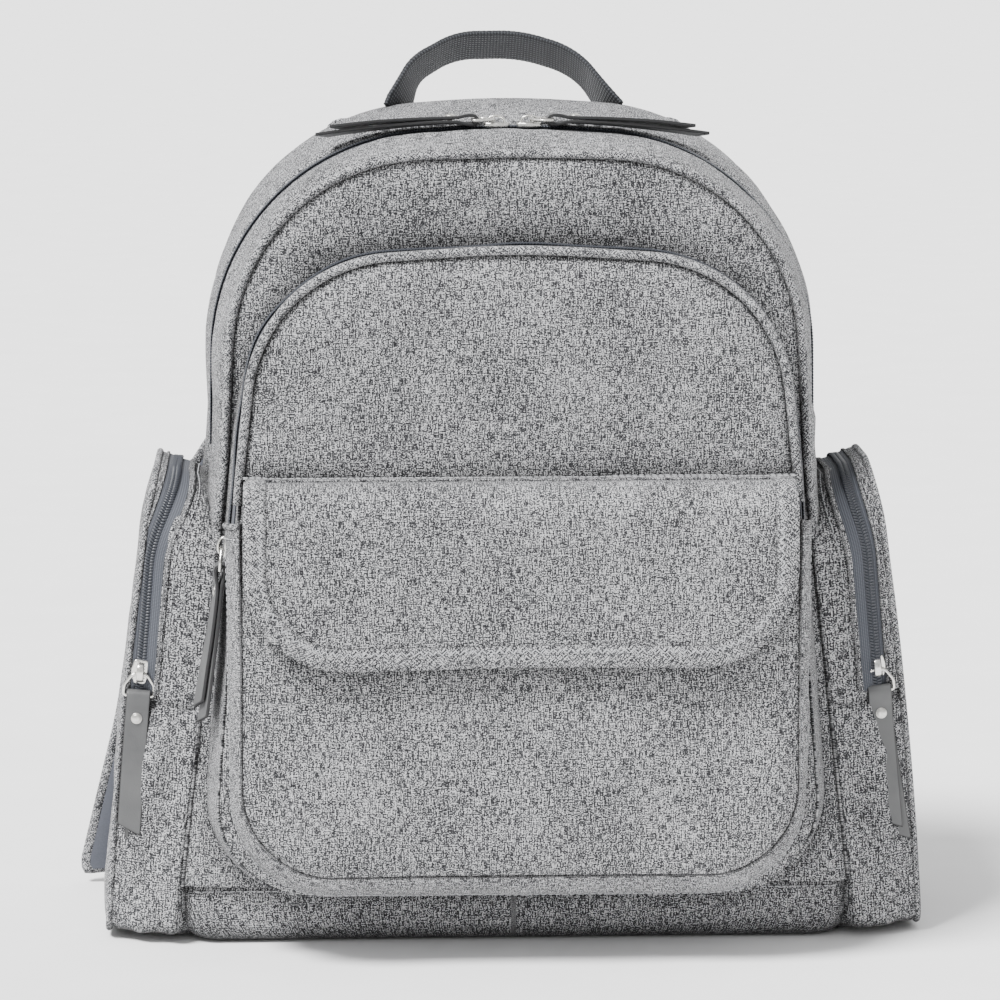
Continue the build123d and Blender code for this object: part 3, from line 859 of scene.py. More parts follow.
def fill(edge: Array, low: float, high: float, rings: int) -> tuple[Array, Array]:
    """Grid that fills an outline from its edge to a short spine on the centre line.

    A point is spine + r * (edge - spine), where the spine point is on x = 0 at the
    edge point's height kept between low and high, and r runs from 1 at the edge to 0.

    Args:
        edge: Outline in (x, height).
        low: Foot of the spine.
        high: Top of the spine.
        rings: Number of steps from edge to spine.

    Returns:
        Grid of (x, height), and each point's distance in from the edge.
    """
    spine = np.stack([np.zeros(len(edge)), np.clip(edge[:, 1], low, high)], 1)
    reach = np.linspace(0, 1, rings) ** 1.35
    grid = edge[:, None] + (spine - edge)[:, None] * reach[None, :, None]
    gap = np.linalg.norm(spine - edge, axis=1)[:, None] * reach[None]
    return grid, gap


@dataclass
class Shell:
    """Main body: outlines at the back, zip and front, taken from the frame."""

    kit: Kit
    back_y: float = field(default_factory=lambda: corners("back_panel")[1][1])
    front_y: float = field(default_factory=lambda: corners("front_panel")[0][1])
    zip_y: float = field(default_factory=lambda: corners("main_zip_coil")[0][1] + 2.5)
    back_top: float = field(default_factory=lambda: corners("back_panel")[1][2])
    zip_top: float = field(default_factory=lambda: corners("main_zip_coil")[1][2] - 0.8)
    front_top: float = field(default_factory=lambda: corners("front_panel")[1][2])
    base_half: float = field(default_factory=lambda: corners("base_panel")[1][0])
    band: float = field(default_factory=lambda: corners("base_panel")[1][2])
    waist: float = 148.0
    shoulder: float = 146.0
    flare_top: float = 240.0
    front_inset: float = 12.0
    shoulder_round: float = 108.0
    shoulder_drop: float = 9.0
    ridge: float = 1.4
    count: int = 420

    def outline(self, top: float, shift: float, grow: float = 0.0, foot: float = 30.0) -> Array:
        """Arched outline from the left foot over the top to the right foot.

        Args:
            top: Height of the top.
            shift: How much narrower it is than the back, as in the frame.
            grow: Added all round.
            foot: Height where it starts and ends.

        Returns:
            Points in (x, z).
        """
        half = self.base_half - shift * 0.15 + grow
        drop = self.shoulder_drop * (1 - 0.7 * shift / self.front_inset)
        right = [
            (half, foot),
            (self.waist - shift * 0.6 + grow, self.flare_top),
            (self.shoulder - shift + grow, top - drop + grow),
        ]
        left = [(-x, z) for x, z in right]
        corner = self.shoulder_round - shift + grow
        peak = (0.0, top + self.ridge * drop / self.shoulder_drop + grow)
        return rounded([*left, peak, *right[::-1]], [150, corner, 450, corner, 150], self.count)

    def at(self, y: Array) -> Array:
        """Outline at each depth: straight between the front, zip and back sections.

        Args:
            y: Depths.

        Returns:
            Grid of points, outline by depth by 3.
        """
        front = self.outline(self.front_top, self.front_inset)
        middle = self.outline(self.zip_top, 0.0)
        back = self.outline(self.back_top, 0.0)
        t = np.clip((y - self.front_y) / (self.zip_y - self.front_y), 0, 1)[None, :, None]
        s = np.clip((y - self.zip_y) / (self.back_y - self.zip_y), 0, 1)[None, :, None]
        flat = front[:, None] * (1 - t) + middle[:, None] * t
        flat = flat * (1 - s) + back[:, None] * s
        depth = np.broadcast_to(y[None, :], flat.shape[:2])
        return np.stack([flat[..., 0], depth, flat[..., 1]], -1)

    def outward(self, grid: Array) -> Array:
        """Outward direction of each outline point in its upright plane."""
        tangent = unit(np.gradient(grid, axis=0))
        return np.stack([-tangent[..., 2], np.zeros(grid.shape[:2]), tangent[..., 0]], -1)

    def gusset(self, name: str, low: float, high: float, crown: float, seed: int) -> bpy.types.Object:
        """Soft strip of the body between two depths.

        The strip stands out by crown times a half sine across it, plus an unevenness that
        dies away at both seams.

        Args:
            name: Name of the piece.
            low: Front depth.
            high: Back depth.
            crown: How far it swells.
            seed: Picks the unevenness.

        Returns:
            The piece.
        """
        y = np.linspace(low, high, max(12, int((high - low) / 2)))
        grid = self.at(y)
        outward = self.outward(grid)
        across = np.sin(np.pi * np.linspace(0, 1, len(y)))[None]
        along = length_along(grid[:, 0])[:, None]
        wavy = swell(along, y[None] * 1.5, 60, seed) * 1.2 + swell(along, y[None], 24, seed + 1) * 0.45
        left_dent = crease(grid[..., 0], grid[..., 2], (-128, 352), (-134, 300), 13) * 3.0
        right_dent = crease(grid[..., 0], grid[..., 2], (142, 300), (140, 262), 15) * 3.5
        lift = across**0.6 * (crown + wavy) - (left_dent + right_dent) * across
        grid = grid + outward * lift[..., None]
        edge = np.minimum(y - low, high - y)[None]
        grid = grid - outward * (np.exp(-edge / 1.2) * 1.6)[..., None]
        uv = np.stack(np.broadcast_arrays(y[None], along), -1)
        piece = put_grid(name, grid, uv)
        thicken(piece, 1.6)
        return piece

    def panel(
        self, name: str, depth: float, top: float, shift: float, facing: float, crown: float, seed: int
    ) -> bpy.types.Object:
        """Upright panel that fills an outline and swells towards its middle.

        Args:
            name: Name of the piece.
            depth: Depth of its seam.
            top: Height of its top.
            shift: How much narrower it is than the back.
            facing: -1 to face the front, 1 to face the back.
            crown: How far its middle stands out.
            seed: Picks the unevenness.

        Returns:
            The piece.
        """
        edge = self.outline(top, shift, -0.6, self.band)
        flat, gap = fill(edge, self.band, top - 96, 70)
        x, z = flat[..., 0], flat[..., 1]
        puff = 1 - np.exp(-gap / 7.0)
        wavy = swell(x, z, 85, seed) * 1.5 + swell(x, z, 30, seed + 2) * 0.5
        stand = puff * (crown + wavy) - np.exp(-gap / 1.5) * 1.2
        y = depth + facing * stand
        uv = np.stack([x, z], -1)
        piece = put_grid(name, np.stack([x, y, z], -1), uv)
        weld(piece)
        self.face(piece, facing)
        thicken(piece, 1.6)
        return piece

    def face(self, piece: bpy.types.Object, facing: float) -> None:
        """Turns a panel's faces so that most of them look along Y times facing."""
        normals = np.empty(len(piece.data.polygons) * 3)
        piece.data.polygons.foreach_get("normal", normals)
        if normals.reshape(-1, 3)[:, 1].sum() * facing < 0:
            piece.data.flip_normals()

    def base(self) -> bpy.types.Object:
        """Base band and floor panel as one tray with soft corners.

        Rings go round the foot; a ring's corners are rounded, it draws in at the floor,
        and the last rings close the floor.
        """
        half = self.base_half
        height = np.array([self.band, 24, 17, 10, 5, 2, 0.6, 0.0, 0.0, 0.0, 0.0])
        inset = np.array([0.6, -0.4, -0.2, 0.8, 2.6, 5.0, 8.0, 12.0, 30.0, 45.0, 60.9])
        rings = []
        for z, cut in zip(height, inset):
            w = max(half - cut - (self.band - z) * 0.06, 60)
            front, back = self.front_y + cut, self.back_y - cut
            corner = max(14.0 - cut * 0.1, 0.2)
            middle = (front + back) / 2
            loop = [(0, front), (w, front), (w, back), (-w, back), (-w, front), (0, front)]
            near = min(corner, (back - front) / 2 * 0.95)
            flat = rounded(loop, [near] * 4, 361)[:-1]
            ring = np.column_stack([flat, np.full(len(flat), z)])
            rings.append(ring if abs(back - front) > 1 else ring * [1, 0, 1] + [0, middle, 0])
        grid = np.stack(rings)
        along = length_along(grid[0])[None]
        across = (self.band - height + np.maximum(inset - 8, 0))[:, None]
        wavy = swell(along * 1.0, across * 2, 55, 5) * 1.0
        outward = unit(grid * [1, 1, 0] - [0, (self.front_y + self.back_y) / 2, 0])
        soft = np.clip((height - 1) / 20, 0, 1)[:, None] * np.clip((self.band - height) / 8, 0, 1)[:, None]
        grid = grid + outward * (wavy * soft)[..., None]
        uv = np.stack(np.broadcast_arrays(along, across), -1)
        piece = put_grid("base_band", grid, uv, wrap_columns=True)
        weld(piece)
        return piece

    def build(self) -> None:
        """Makes and dresses the sewn panels of the main body."""
        kit = self.kit
        seam = 7.0
        rear = self.gusset("rear_gusset_cloth", self.zip_y + seam, self.back_y, 2.5, 11)
        kit.dress(rear, "shell_fabric", "bag", "", "rear_gusset")
        front = self.gusset("front_gusset_cloth", self.front_y, self.zip_y - seam, 2.0, 21)
        kit.dress(front, "shell_fabric", "bag", "", "front_gusset")
        face = self.panel("front_panel_cloth", self.front_y, self.front_top, self.front_inset, -1, 3.0, 31)
        kit.dress(face, "shell_fabric", "bag", "", "front_panel")
        back = self.panel("back_panel_cloth", self.back_y, self.back_top, 0.0, 1, 2.0, 41)
        kit.dress(back, "back_mesh", "bag", "", "back_panel")
        kit.dress(self.base(), "shell_fabric", "bag", "", "base_panel")
        self.side_fill()

    def side_fill(self) -> None:
        """Lower side panels behind the side pockets, under the zip's ends."""
        y = np.linspace(self.zip_y - 7.5, self.zip_y + 7.5, 6)
        grid = self.at(y)
        for name, pick in (("left", grid[:, 0, 0] < 0), ("right", grid[:, 0, 0] > 0)):
            low = pick & (grid[:, 0, 2] < 243)
            part = grid[low]
            along = length_along(part[:, 0])[:, None]
            uv = np.stack(np.broadcast_arrays(along, y[None]), -1)
            piece = put_grid(f"side_panel_{name}", part, uv)
            thicken(piece, 1.6)
            self.kit.dress(piece, "shell_fabric", "bag")


# ---------------------------------------------------------------- zips, threads and small metal


def follow(path: Array, carried: Array, count: int) -> tuple[Array, Array]:
    """Path resampled evenly, with another value carried along.

    Args:
        path: Points of the path.
        carried: One row for each point.
        count: Number of points wanted.

    Returns:
        New points, and the carried rows at them.
    """
    along = length_along(path)
    wanted = np.linspace(0, along[-1], count)
    both = np.hstack([path, carried])
    columns = np.stack([np.interp(wanted, along, both[:, k]) for k in range(both.shape[1])], 1)
    return columns[:, : path.shape[1]], columns[:, path.shape[1] :]


def stitches(
    name: str, path: Array, up: Array, pitch: float = 3.1, length: float = 2.4, radius: float = 0.27
) -> bpy.types.Object:
    """Row of thread stitches, half sunk in the cloth.

    Args:
        name: Name of the piece.
        path: Line of the row on the cloth.
        up: Outward direction at each point, or one for all.
        pitch: Distance from stitch to stitch.
        length: Length of one stitch.
        radius: Thickness of the thread.

    Returns:
        The new object.
    """
    count = max(3, int(length_along(path)[-1] / pitch))
    at, lift = follow(path, np.broadcast_to(up, path.shape), count)
    shape, faces = capsule(length, radius)
    return scatter(name, at + unit(lift) * radius * 0.4, np.gradient(at, axis=0), lift, shape, faces)


def coil_teeth(name: str, path: Array, up: Array, pitch: float = 1.5) -> bpy.types.Object:
    """Nylon coil: two rows of slanted loops that interlock along a path.

    Args:
        name: Name of the piece.
        path: Centre line on the tape.
        up: Outward direction at each point.
        pitch: Distance from loop to loop.

    Returns:
        The new object.
    """
    count = max(4, int(length_along(path)[-1] / pitch))
    at, lift = follow(path, np.broadcast_to(up, path.shape), count * 2)
    along = unit(np.gradient(at, axis=0))
    lift = unit(lift - along * np.sum(lift * along, -1, keepdims=True))
    across = np.cross(along, lift)
    hand = np.where(np.arange(len(at)) % 2 == 0, 1.0, -1.0)[:, None]
    shape, faces = capsule(3.0, 0.72)
    heading = across * hand + along * 0.32
    return scatter(name, at + across * hand * 1.15 + lift * 0.2, heading, lift, shape, faces)


def plate(
    name: str, outline: Array, low: float, high: float, bevel: float, origin: Array, axes: Array
) -> bpy.types.Object:
    """Flat part with rounded edges, cut from an outline.

    Rings run from the back face round the edge to the front face; the faces close as fans.

    Args:
        name: Name of the piece.
        outline: Closed loop in (u, v), not repeating its first point.
        low: Back face along w.
        high: Front face along w.
        bevel: Edge radius.
        origin: Where the local origin is.
        axes: Rows u, v and w.

    Returns:
        The new object.
    """
    angle = np.linspace(0, np.pi / 2, 4)
    inset = np.concatenate(
        [[bevel * 2.2], bevel * (1 - np.sin(angle)), bevel * (1 - np.cos(angle)), [bevel * 2.2]]
    )
    height = np.concatenate(
        [[low], low + bevel * (1 - np.cos(angle)), high - bevel * (1 - np.sin(angle)), [high]]
    )
    tangent = unit(np.roll(outline, -1, 0) - np.roll(outline, 1, 0))
    inward = np.stack([-tangent[:, 1], tangent[:, 0]], 1)
    centre = outline.mean(0)
    inward = inward * np.sign(np.sum(inward * (centre - outline), 1).sum())
    flat = outline[None] + inward[None] * inset[:, None, None]
    tall = np.broadcast_to(height[:, None, None], flat.shape[:2] + (1,))
    grid = np.concatenate([flat, tall], -1)
    middle = np.array([[*centre, low], [*centre, high]])
    points = np.concatenate([grid.reshape(-1, 3), middle])
    faces = grid_faces(len(grid), len(outline), False, True)
    size = len(outline)
    turn = np.arange(size)
    last, ends = (len(grid) - 1) * size, len(points) - 2
    first_fan = np.stack([turn, np.full(size, ends), (turn + 1) % size], 1)
    last_fan = np.stack([last + (turn + 1) % size, np.full(size, ends + 1), last + turn], 1)
    mesh_faces = faces.tolist() + first_fan.tolist() + last_fan.tolist()
    piece = add_mesh(name, np.asarray(origin) + points @ np.asarray(axes), mesh_faces, points[:, :2])
    weld(piece, 0.001)
    return piece


def lathe(
    name: str, profile: Sequence[tuple], origin: Array, axes: Array, count: int = 28
) -> bpy.types.Object:
    """Turned part: a profile of (radius, height) spun about w.

    Args:
        name: Name of the piece.
        profile: Points from one end of the axis to the other.
        origin: Where the axis is.
        axes: Rows u, v and w.
        count: Steps round.

    Returns:
        The new object.
    """
    radius, height = np.array(profile, float).T
    angle = np.linspace(0, 2 * np.pi, count, endpoint=False)
    grid = np.stack(
        [
            radius[:, None] * np.cos(angle), radius[:, None] * np.sin(angle),
            np.repeat(height[:, None], count, 1)
        ], -1
    )
    piece = put_grid(name, np.asarray(origin) + grid @ np.asarray(axes), wrap_columns=True)
    weld(piece, 0.001)
    return piece


def box_loop(u0: float, u1: float, v0: float, v1: float, radius: float, count: int = 48) -> Array:
    """Closed rounded rectangle in (u, v)."""
    m = (u0 + u1) / 2
    loop = [(m, v0), (u1, v0), (u1, v1), (u0, v1), (u0, v0), (m, v0)]
    return rounded(loop, [radius] * 4, count + 1)[:-1]


@dataclass
class PullSet:
    """Slider, wire ring, doubled leather pull and rivet of one zip."""

    kit: Kit
    name: str
    origin: tuple
    axes: tuple
    fan: float = 4.5
    slant: float = -2.6
    bar: float = 10.6
    level: float = 4.7
    half_width: float = 5.8
    top_end: float = 77.6
    under_end: float = 84.6
    rivet_at: float = 21.6
    droop: float = 0.0
    roll: float = 0.0

    def build(self) -> None:
        """Makes and dresses the four parts."""
        self.slider()
        self.ring()
        self.pull()
        self.rivet()

    def put(self, local: Array) -> Array:
        """Local points in the frame."""
        return np.array(self.origin) + np.asarray(local, float) @ np.array(self.axes)

    def dress(self, piece: bpy.types.Object, part: str, slot: str) -> None:
        """Finish, body and node of one part."""
        body = "pull" if part == "rivet" else part
        self.kit.dress(piece, slot, f"{self.name}_{body}", "", f"{self.name}_{part}")

    def slider(self) -> None:
        """Tapered plate with raised cheeks and an oval bridge, as one casting."""
        outline = rounded(
            [
                (0, -7.2), (3.4, -7.0), (4.5, -2.5), (4.4, 1), (2.6, 5.2), (-2.6, 5.2), (-4.4, 1),
                (-4.5, -2.5), (-3.4, -7.0), (0, -7.2)
            ],
            [1.6, 3, 3, 1.4, 1.4, 3, 3, 1.6],
            61,
        )[:-1]
        body = plate(f"{self.name}_slider_plate", outline, 0.9, 3.4, 0.7, self.origin, self.axes)
        angle = np.linspace(0, np.pi, 24)
        arch = np.stack([np.zeros(24), -0.75 - 4.4 * np.cos(angle), 2.6 + 4.0 * np.sin(angle) ** 0.7], 1)
        bridge = put_sweep(
            "bridge", self.put(arch), np.array(self.axes[0]), ring_profile(1.75, 0.62, 3.0, 14)
        )
        join(body, bridge)
        self.dress(body, "slider", "zip_metal")

    def ring(self) -> None:
        """D-shaped wire: curved through the bridge, legs spread to the leather's width."""
        loop = rounded(
            [
                (0, 0.2), (3.6, 0.2), (7.3, 5.5), (7.3, self.bar), (-7.3, self.bar), (-7.3, 5.5),
                (-3.6, 0.2), (0, 0.2)
            ],
            [3.0, 4.0, 1.3, 1.3, 4.0, 3.0],
            97,
        )[:-1]
        path = np.column_stack([loop, np.full(len(loop), self.level)])
        wire = put_sweep(
            f"{self.name}_ring_wire", self.put(path), np.array(self.axes[2]), ring_profile(0.85, 0.85), True
        )
        self.dress(wire, "ring", "zip_metal")

    def pull(self) -> None:
        """Strip of leather folded round the ring's bar, riveted, with slanted ends that fan out.

        Its path runs up the under layer, round the bar in a half circle, and down the top
        layer. Distance to the cut edge is kept as a surface coordinate for the edge paint.
        """
        lap = np.linspace(-np.pi / 2, np.pi / 2, 15)
        r = 2.35
        gap = 0.95
        top_v = np.array([self.bar + 3, self.bar + 7, self.rivet_at, 40, 60, self.top_end])
        top_w = np.array([2.2, 1.2, gap, gap + 0.35, gap + 0.75, gap + 0.6]) + self.level
        under_v = np.array([self.bar + 3, self.bar + 7, self.rivet_at, 40, 62, self.under_end])
        under_w = self.level - np.array([2.2, 1.2, gap, gap, gap, gap + 0.1])
        turn = np.stack([self.bar - r * np.cos(lap), self.level + r * np.sin(lap)], 1)
        line = np.concatenate([np.stack([under_v, under_w], 1)[::-1], turn, np.stack([top_v, top_w], 1)])
        line = resample(line, 90)
        path = np.column_stack([np.zeros(len(line)), line])
        flat = ring_profile(self.half_width, 0.85, 9.0, 40)
        grid = sweep(path, np.array([1.0, 0, 0]), flat)
        along = length_along(path)
        far = self.rivet_at + 2
        is_under = (np.arange(len(path)) < 45)[:, None]
        stretch = np.clip((grid[..., 1] - far) / (self.under_end - far), 0, 1)
        grid[..., 0] -= np.where(is_under, self.fan, self.fan * 0.12) * stretch**1.3
        cut = np.clip((grid[..., 1] - 50) / 25, 0, 1)
        grid[..., 1] += self.slant * flat[None, :, 0] / self.half_width * cut
        reach = np.clip((grid[..., 1] - self.bar) / (self.under_end - self.bar), 0, 1.1)
        grid[..., 2] += self.roll * grid[..., 0] * reach**0.5 - self.droop * reach**1.6
        edge = np.where(
            np.abs(flat[:, 0]) > self.half_width - 0.12, 0.0, self.half_width - np.abs(flat[:, 0])
        )
        end = np.minimum(along, along[-1] - along)[:, None]
        uv = np.stack(np.broadcast_arrays(np.minimum(edge[None], end), along[:, None]), -1)
        piece = closed_grid(
            f"{self.name}_pull_leather", self.put(grid.reshape(-1, 3)).reshape(grid.shape), uv
        )
        self.dress(piece, "pull", "pull_leather")

    def rivet(self) -> None:
        """Domed tubular rivet with a rolled rim on both faces."""
        back, front = -1.85, 1.95
        profile = [
            (0, back - 0.5), (1.6, back - 0.45), (2.4, back - 0.15), (2.6, back), (1.1, back + 0.35),
            (1.1, front - 0.4), (2.75, front - 0.1), (2.8, front + 0.15), (2.55, front + 0.4),
            (2.2, front + 0.38),
            (2.0, front + 0.55), (1.4, front + 0.85), (0.7, front + 1.0), (0, front + 1.05),
        ]
        at = self.put([0, self.rivet_at, self.level])
        piece = lathe(f"{self.name}_rivet_cap", profile, at, self.axes)
        self.dress(piece, "rivet", "rivet_metal")


def closed_grid(name: str, grid: Array, uv: Array) -> bpy.types.Object:
    """Tube-like grid whose first and last rows are closed flat.

    Args:
        name: Name of the piece.
        grid: Points, rows along, columns round.
        uv: Surface coordinates.

    Returns:
        The new object.
    """
    rows, columns = grid.shape[:2]
    ends = np.concatenate([grid[:1].mean(1), grid[-1:].mean(1)])
    points = np.concatenate([grid.reshape(-1, 3), ends])
    flat = np.concatenate([uv.reshape(-1, 2), uv[0, :1], uv[-1, :1]])
    turn = np.arange(columns)
    first = np.stack([turn, np.full(columns, rows * columns), (turn + 1) % columns], 1)
    base = (rows - 1) * columns
    last = np.stack([base + (turn + 1) % columns, np.full(columns, rows * columns + 1), base + turn], 1)
    quads = grid_faces(rows, columns, False, True)
    halves = np.concatenate([quads[:, [0, 1, 2]], quads[:, [0, 2, 3]]])
    piece = add_mesh(name, points, np.concatenate([halves, first, last]), flat)
    weld(piece, 0.0005)
    return piece


def join(first: bpy.types.Object, *others: bpy.types.Object) -> bpy.types.Object:
    """Adds the meshes of other pieces to the first one.

    Args:
        first: Piece that stays.
        *others: Pieces that go into it.

    Returns:
        The first piece.
    """
    work = bmesh.new()
    for piece in (first, *others):
        work.from_mesh(piece.data)
    work.to_mesh(first.data)
    work.free()
    for piece in others:
        bpy.data.objects.remove(piece)
    first.data.polygons.foreach_set("use_smooth", np.ones(len(first.data.polygons), bool))
    return first


# ---------------------------------------------------------------- trim of the main body


@dataclass
class MainTrim:
    """Piping, zip, hems and topstitching of the main body."""

    kit: Kit
    shell: Shell
    piping: float = 2.1
    piping_from: float = 208.0
    tape_half: float = 7.6

    def build(self) -> None:
        """Makes every trim piece of the main body."""
        self.front_piping()
        self.rear_piping()
        self.zip()
        self.band_stitch()
        for side, name in ((-1, "main_left"), (1, "main_right")):
            origin = (9.0 * side, self.shell.zip_y, self.shell.zip_top)
            axes = ((0, -side, 0), (side, 0, 0), (0, 0, 1))
            PullSet(
                self.kit, name, origin, axes, 2.5 * side, 3.0 * side, droop=6.0, roll=0.22 * side
            ).build()

    def upper(self, grid: Array, from_z: float) -> Array:
        """Part of an outline grid above a height."""
        return grid[grid[:, 0, 2] > from_z]

    def front_piping(self) -> None:
        """Fat piping round the front seam, bound in cloth cut on the bias."""
        line = self.shell.at(np.array([self.shell.front_y]))
        outward = self.shell.outward(line)[:, 0]
        path = line[:, 0] + outward * 0.6 + [0, -0.4, 0]
        keep = path[:, 2] > self.piping_from
        cord = put_sweep(
            "front_piping_cord", path[keep], outward[keep], ring_profile(self.piping, self.piping, 2, 14)
        )
        self.kit.dress(cord, "bias_binding", "bag", "", "front_piping")

    def rear_piping(self) -> None:
        """Thin bound seam round the back panel."""
        line = self.shell.at(np.array([self.shell.back_y]))
        outward = self.shell.outward(line)[:, 0]
        cord = put_sweep("rear_seam_binding", line[:, 0], outward, ring_profile(1.9, 1.9, 2, 10))
        self.kit.dress(cord, "bias_binding", "bag")

    def zip(self) -> None:
        """Tape in two halves, coil on it, and a folded hem with its stitches on each side."""
        shell = self.shell
        y = shell.zip_y + np.linspace(-self.tape_half, self.tape_half, 13)
        grid = self.upper(shell.at(y), 240.5)
        outward = shell.outward(grid)
        ridge = 0.5 - 0.16 * np.abs(np.linspace(-self.tape_half, self.tape_half, 13))[None, :, None]
        grid = grid + outward * (ridge - 0.2)
        along = length_along(grid[:, 6])[:, None]
        uv = np.stack(np.broadcast_arrays(y[None], along), -1)
        tape = put_grid("main_zip_cloth", grid, uv)
        thicken(tape, 0.6)
        self.kit.dress(tape, "zip_tape", "bag", "", "main_zip_tape")
        coil = coil_teeth("main_zip_teeth", grid[:, 6] + outward[:, 6] * 0.7, outward[:, 6])
        self.kit.dress(coil, "zip_coil", "bag", "", "main_zip_coil")
        for hand, name in ((-1, "front"), (1, "rear")):
            depth = np.array([shell.zip_y + hand * 6.2, shell.zip_y + hand * 10.2])
            rim = self.upper(shell.at(depth), 240)
            out = shell.outward(rim)
            fold = put_sweep(
                f"zip_hem_{name}", rim[:, 0] + out[:, 0] * 0.6, out[:, 0], ring_profile(0.75, 1.9, 2.6, 12)
            )
            self.kit.dress(fold, "shell_fabric", "bag")
            self.kit.sew(f"zip_hem_stitch_{name}", rim[:, 1] + out[:, 1] * 1.3, out[:, 1])

    def band_stitch(self) -> None:
        """Topstitching below the base band's seam, front and back."""
        shell = self.shell
        x = np.linspace(-shell.base_half + 10, shell.base_half - 10, 200)
        for name, y, out in (("front", shell.front_y, -1), ("back", shell.back_y, 1)):
            path = np.stack([x, np.full(200, y + out * 0.35), np.full(200, shell.band - 3)], 1)
            self.kit.sew(f"band_stitch_{name}", path, np.array([0, out, 0]), 3.4, 2.5, 0.22)


# ---------------------------------------------------------------- pockets on the front


@dataclass
class MiddlePocket:
    """Arched pocket: swelling face, gusset with the zip in it, bound piping."""

    kit: Kit
    back_y: float = field(default_factory=lambda: corners("middle_pocket_gusset")[1][1])
    face_y: float = field(default_factory=lambda: corners("middle_pocket_panel")[0][1])
    zip_y: float = field(default_factory=lambda: corners("middle_zip_coil")[0][1] + 2.5)
    foot: float = field(default_factory=lambda: corners("middle_pocket_panel")[0][2])
    top: float = field(default_factory=lambda: corners("middle_pocket_panel")[1][2])
    foot_half: float = 150.0
    top_half: float = 124.5
    slider_z: float = 201.0
    flare: float = 6.0
    zip_from: float = 195.5
    piping_from: float = 237.0
    crown: float = 5.0

    def outline(self, grow: float = 0.0) -> Array:
        """Closed outline from the middle of the foot round and back."""
        right = [
            (self.foot_half + grow, self.foot), (133.6 + grow, 236), (122.5 + grow, self.top - 8.5 + grow)
        ]
        left = [(-x, z) for x, z in right][::-1]
        points = [(0, self.foot), *right, (0, self.top - 0.6 + grow), *left, (0, self.foot)]
        return rounded(points, [45, 200, 72, 450, 72, 200, 45], 481)

    def wall(self, y: Array, lift: Array | float = 0.0) -> tuple[Array, Array, Array]:
        """Gusset surface at depths y, its outward directions and its length along.

        It swells by a half sine from seam to seam, with a soft unevenness.

        Args:
            y: Depths.
            lift: Added outwards.

        Returns:
            Grid, outward directions and lengths.
        """
        edge = self.outline()
        tangent = unit(np.gradient(edge, axis=0))
        outward = np.stack([tangent[:, 1], np.zeros(len(edge)), -tangent[:, 0]], 1)
        span = (y - self.face_y) / (self.back_y - self.face_y)
        along = length_along(edge)
        wavy = swell(along[:, None], y[None] * 1.3, 45, 51) * 0.6
        spread = self.flare * np.clip(span, 0, 1)[None] ** 1.5 * smooth_step(340 - edge[:, 1:], 0, 90)
        rise = np.sin(np.pi * np.clip(span, 0, 1))[None] * (0.8 + wavy) + lift + spread
        flat = np.stack(
            [edge[:, 0], np.zeros(len(edge)), edge[:, 1]], 1
        )[:, None] + y[None, :, None] * np.array([0, 1, 0])
        return flat + outward[:, None] * rise[..., None], outward, along

    def build(self) -> None:
        """Makes and dresses the pocket."""
        kit = self.kit
        y = np.linspace(self.face_y, self.back_y, 16)
        grid, outward, along = self.wall(y)
        uv = np.stack(np.broadcast_arrays(y[None], along[:, None]), -1)
        wall = put_grid("middle_gusset_cloth", grid, uv)
        thicken(wall, 1.2)
        kit.dress(wall, "shell_fabric", "bag", "", "middle_pocket_gusset")
        self.face()
        self.zip()
        keep = grid[:, 0, 2] > self.piping_from - 14
        path = grid[keep, 0] + outward[keep] * 0.4 + [0, -1.2, 0]
        cord = put_sweep("middle_piping_cord", path, outward[keep], ring_profile(2.3, 2.2, 2, 14))
        kit.dress(cord, "bias_binding", "bag", "", "middle_pocket_piping")
        slope = (self.foot_half - self.top_half) / (self.top - self.foot)
        x = slope * (self.slider_z - self.foot) - self.foot_half
        v = unit(np.array([-slope, 0, -1.0]))
        axes = ((0, 1, 0), tuple(v), (v[2], 0, -v[0]))
        at = (x - 2.0, self.zip_y, self.slider_z)
        PullSet(kit, "middle", at, axes, fan=2.5, slant=2.6, droop=-5.0, roll=0.32).build()

    def face(self) -> None:
        """Face panel, fullest in its lower middle, drawn in at the seam."""
        flat, gap = fill(self.outline(-0.5), self.foot + 60, self.top - 60, 70)
        x, z = flat[..., 0], flat[..., 1]
        wavy = swell(x, z, 95, 61) * 1.5 + swell(x, z, 34, 62) * 0.4
        dents = crease(x, z, (-118, 300), (-96, 250), 16) * 1.6
        dents = dents + crease(x, z, (112, 318), (122, 262), 12) * 2.2
        full = 1 - np.exp(-gap / 8)
        rise = full * (self.crown + wavy) - dents * full - np.exp(-gap / 1.5) * 1.5
        uv = np.stack([x, z], -1)
        piece = put_grid("middle_face_cloth", np.stack([x, self.face_y - rise, z], -1), uv)
        weld(piece)
        turn_to(piece, (0, -1, 0))
        thicken(piece, 1.2)
        self.kit.dress(piece, "shell_fabric", "bag", "", "middle_pocket_panel")

    def zip(self) -> None:
        """Herringbone tape and coil on the gusset, from each side over the arch."""
        y = self.zip_y + np.linspace(-8.2, 6.6, 11)
        grid, outward, along = self.wall(y, 0.55)
        keep = grid[:, 0, 2] > self.zip_from
        uv = np.stack(np.broadcast_arrays(y[None], along[:, None]), -1)
        tape = put_grid("middle_zip_cloth", grid[keep], uv[keep])
        thicken(tape, 0.6)
        self.kit.dress(tape, "zip_tape", "bag", "", "middle_zip_tape")
        centre, _, _ = self.wall(np.array([self.zip_y]), 0.9)
        teeth = coil_teeth("middle_zip_teeth", centre[keep, 0], outward[keep])
        self.kit.dress(teeth, "zip_coil", "bag", "", "middle_zip_coil")


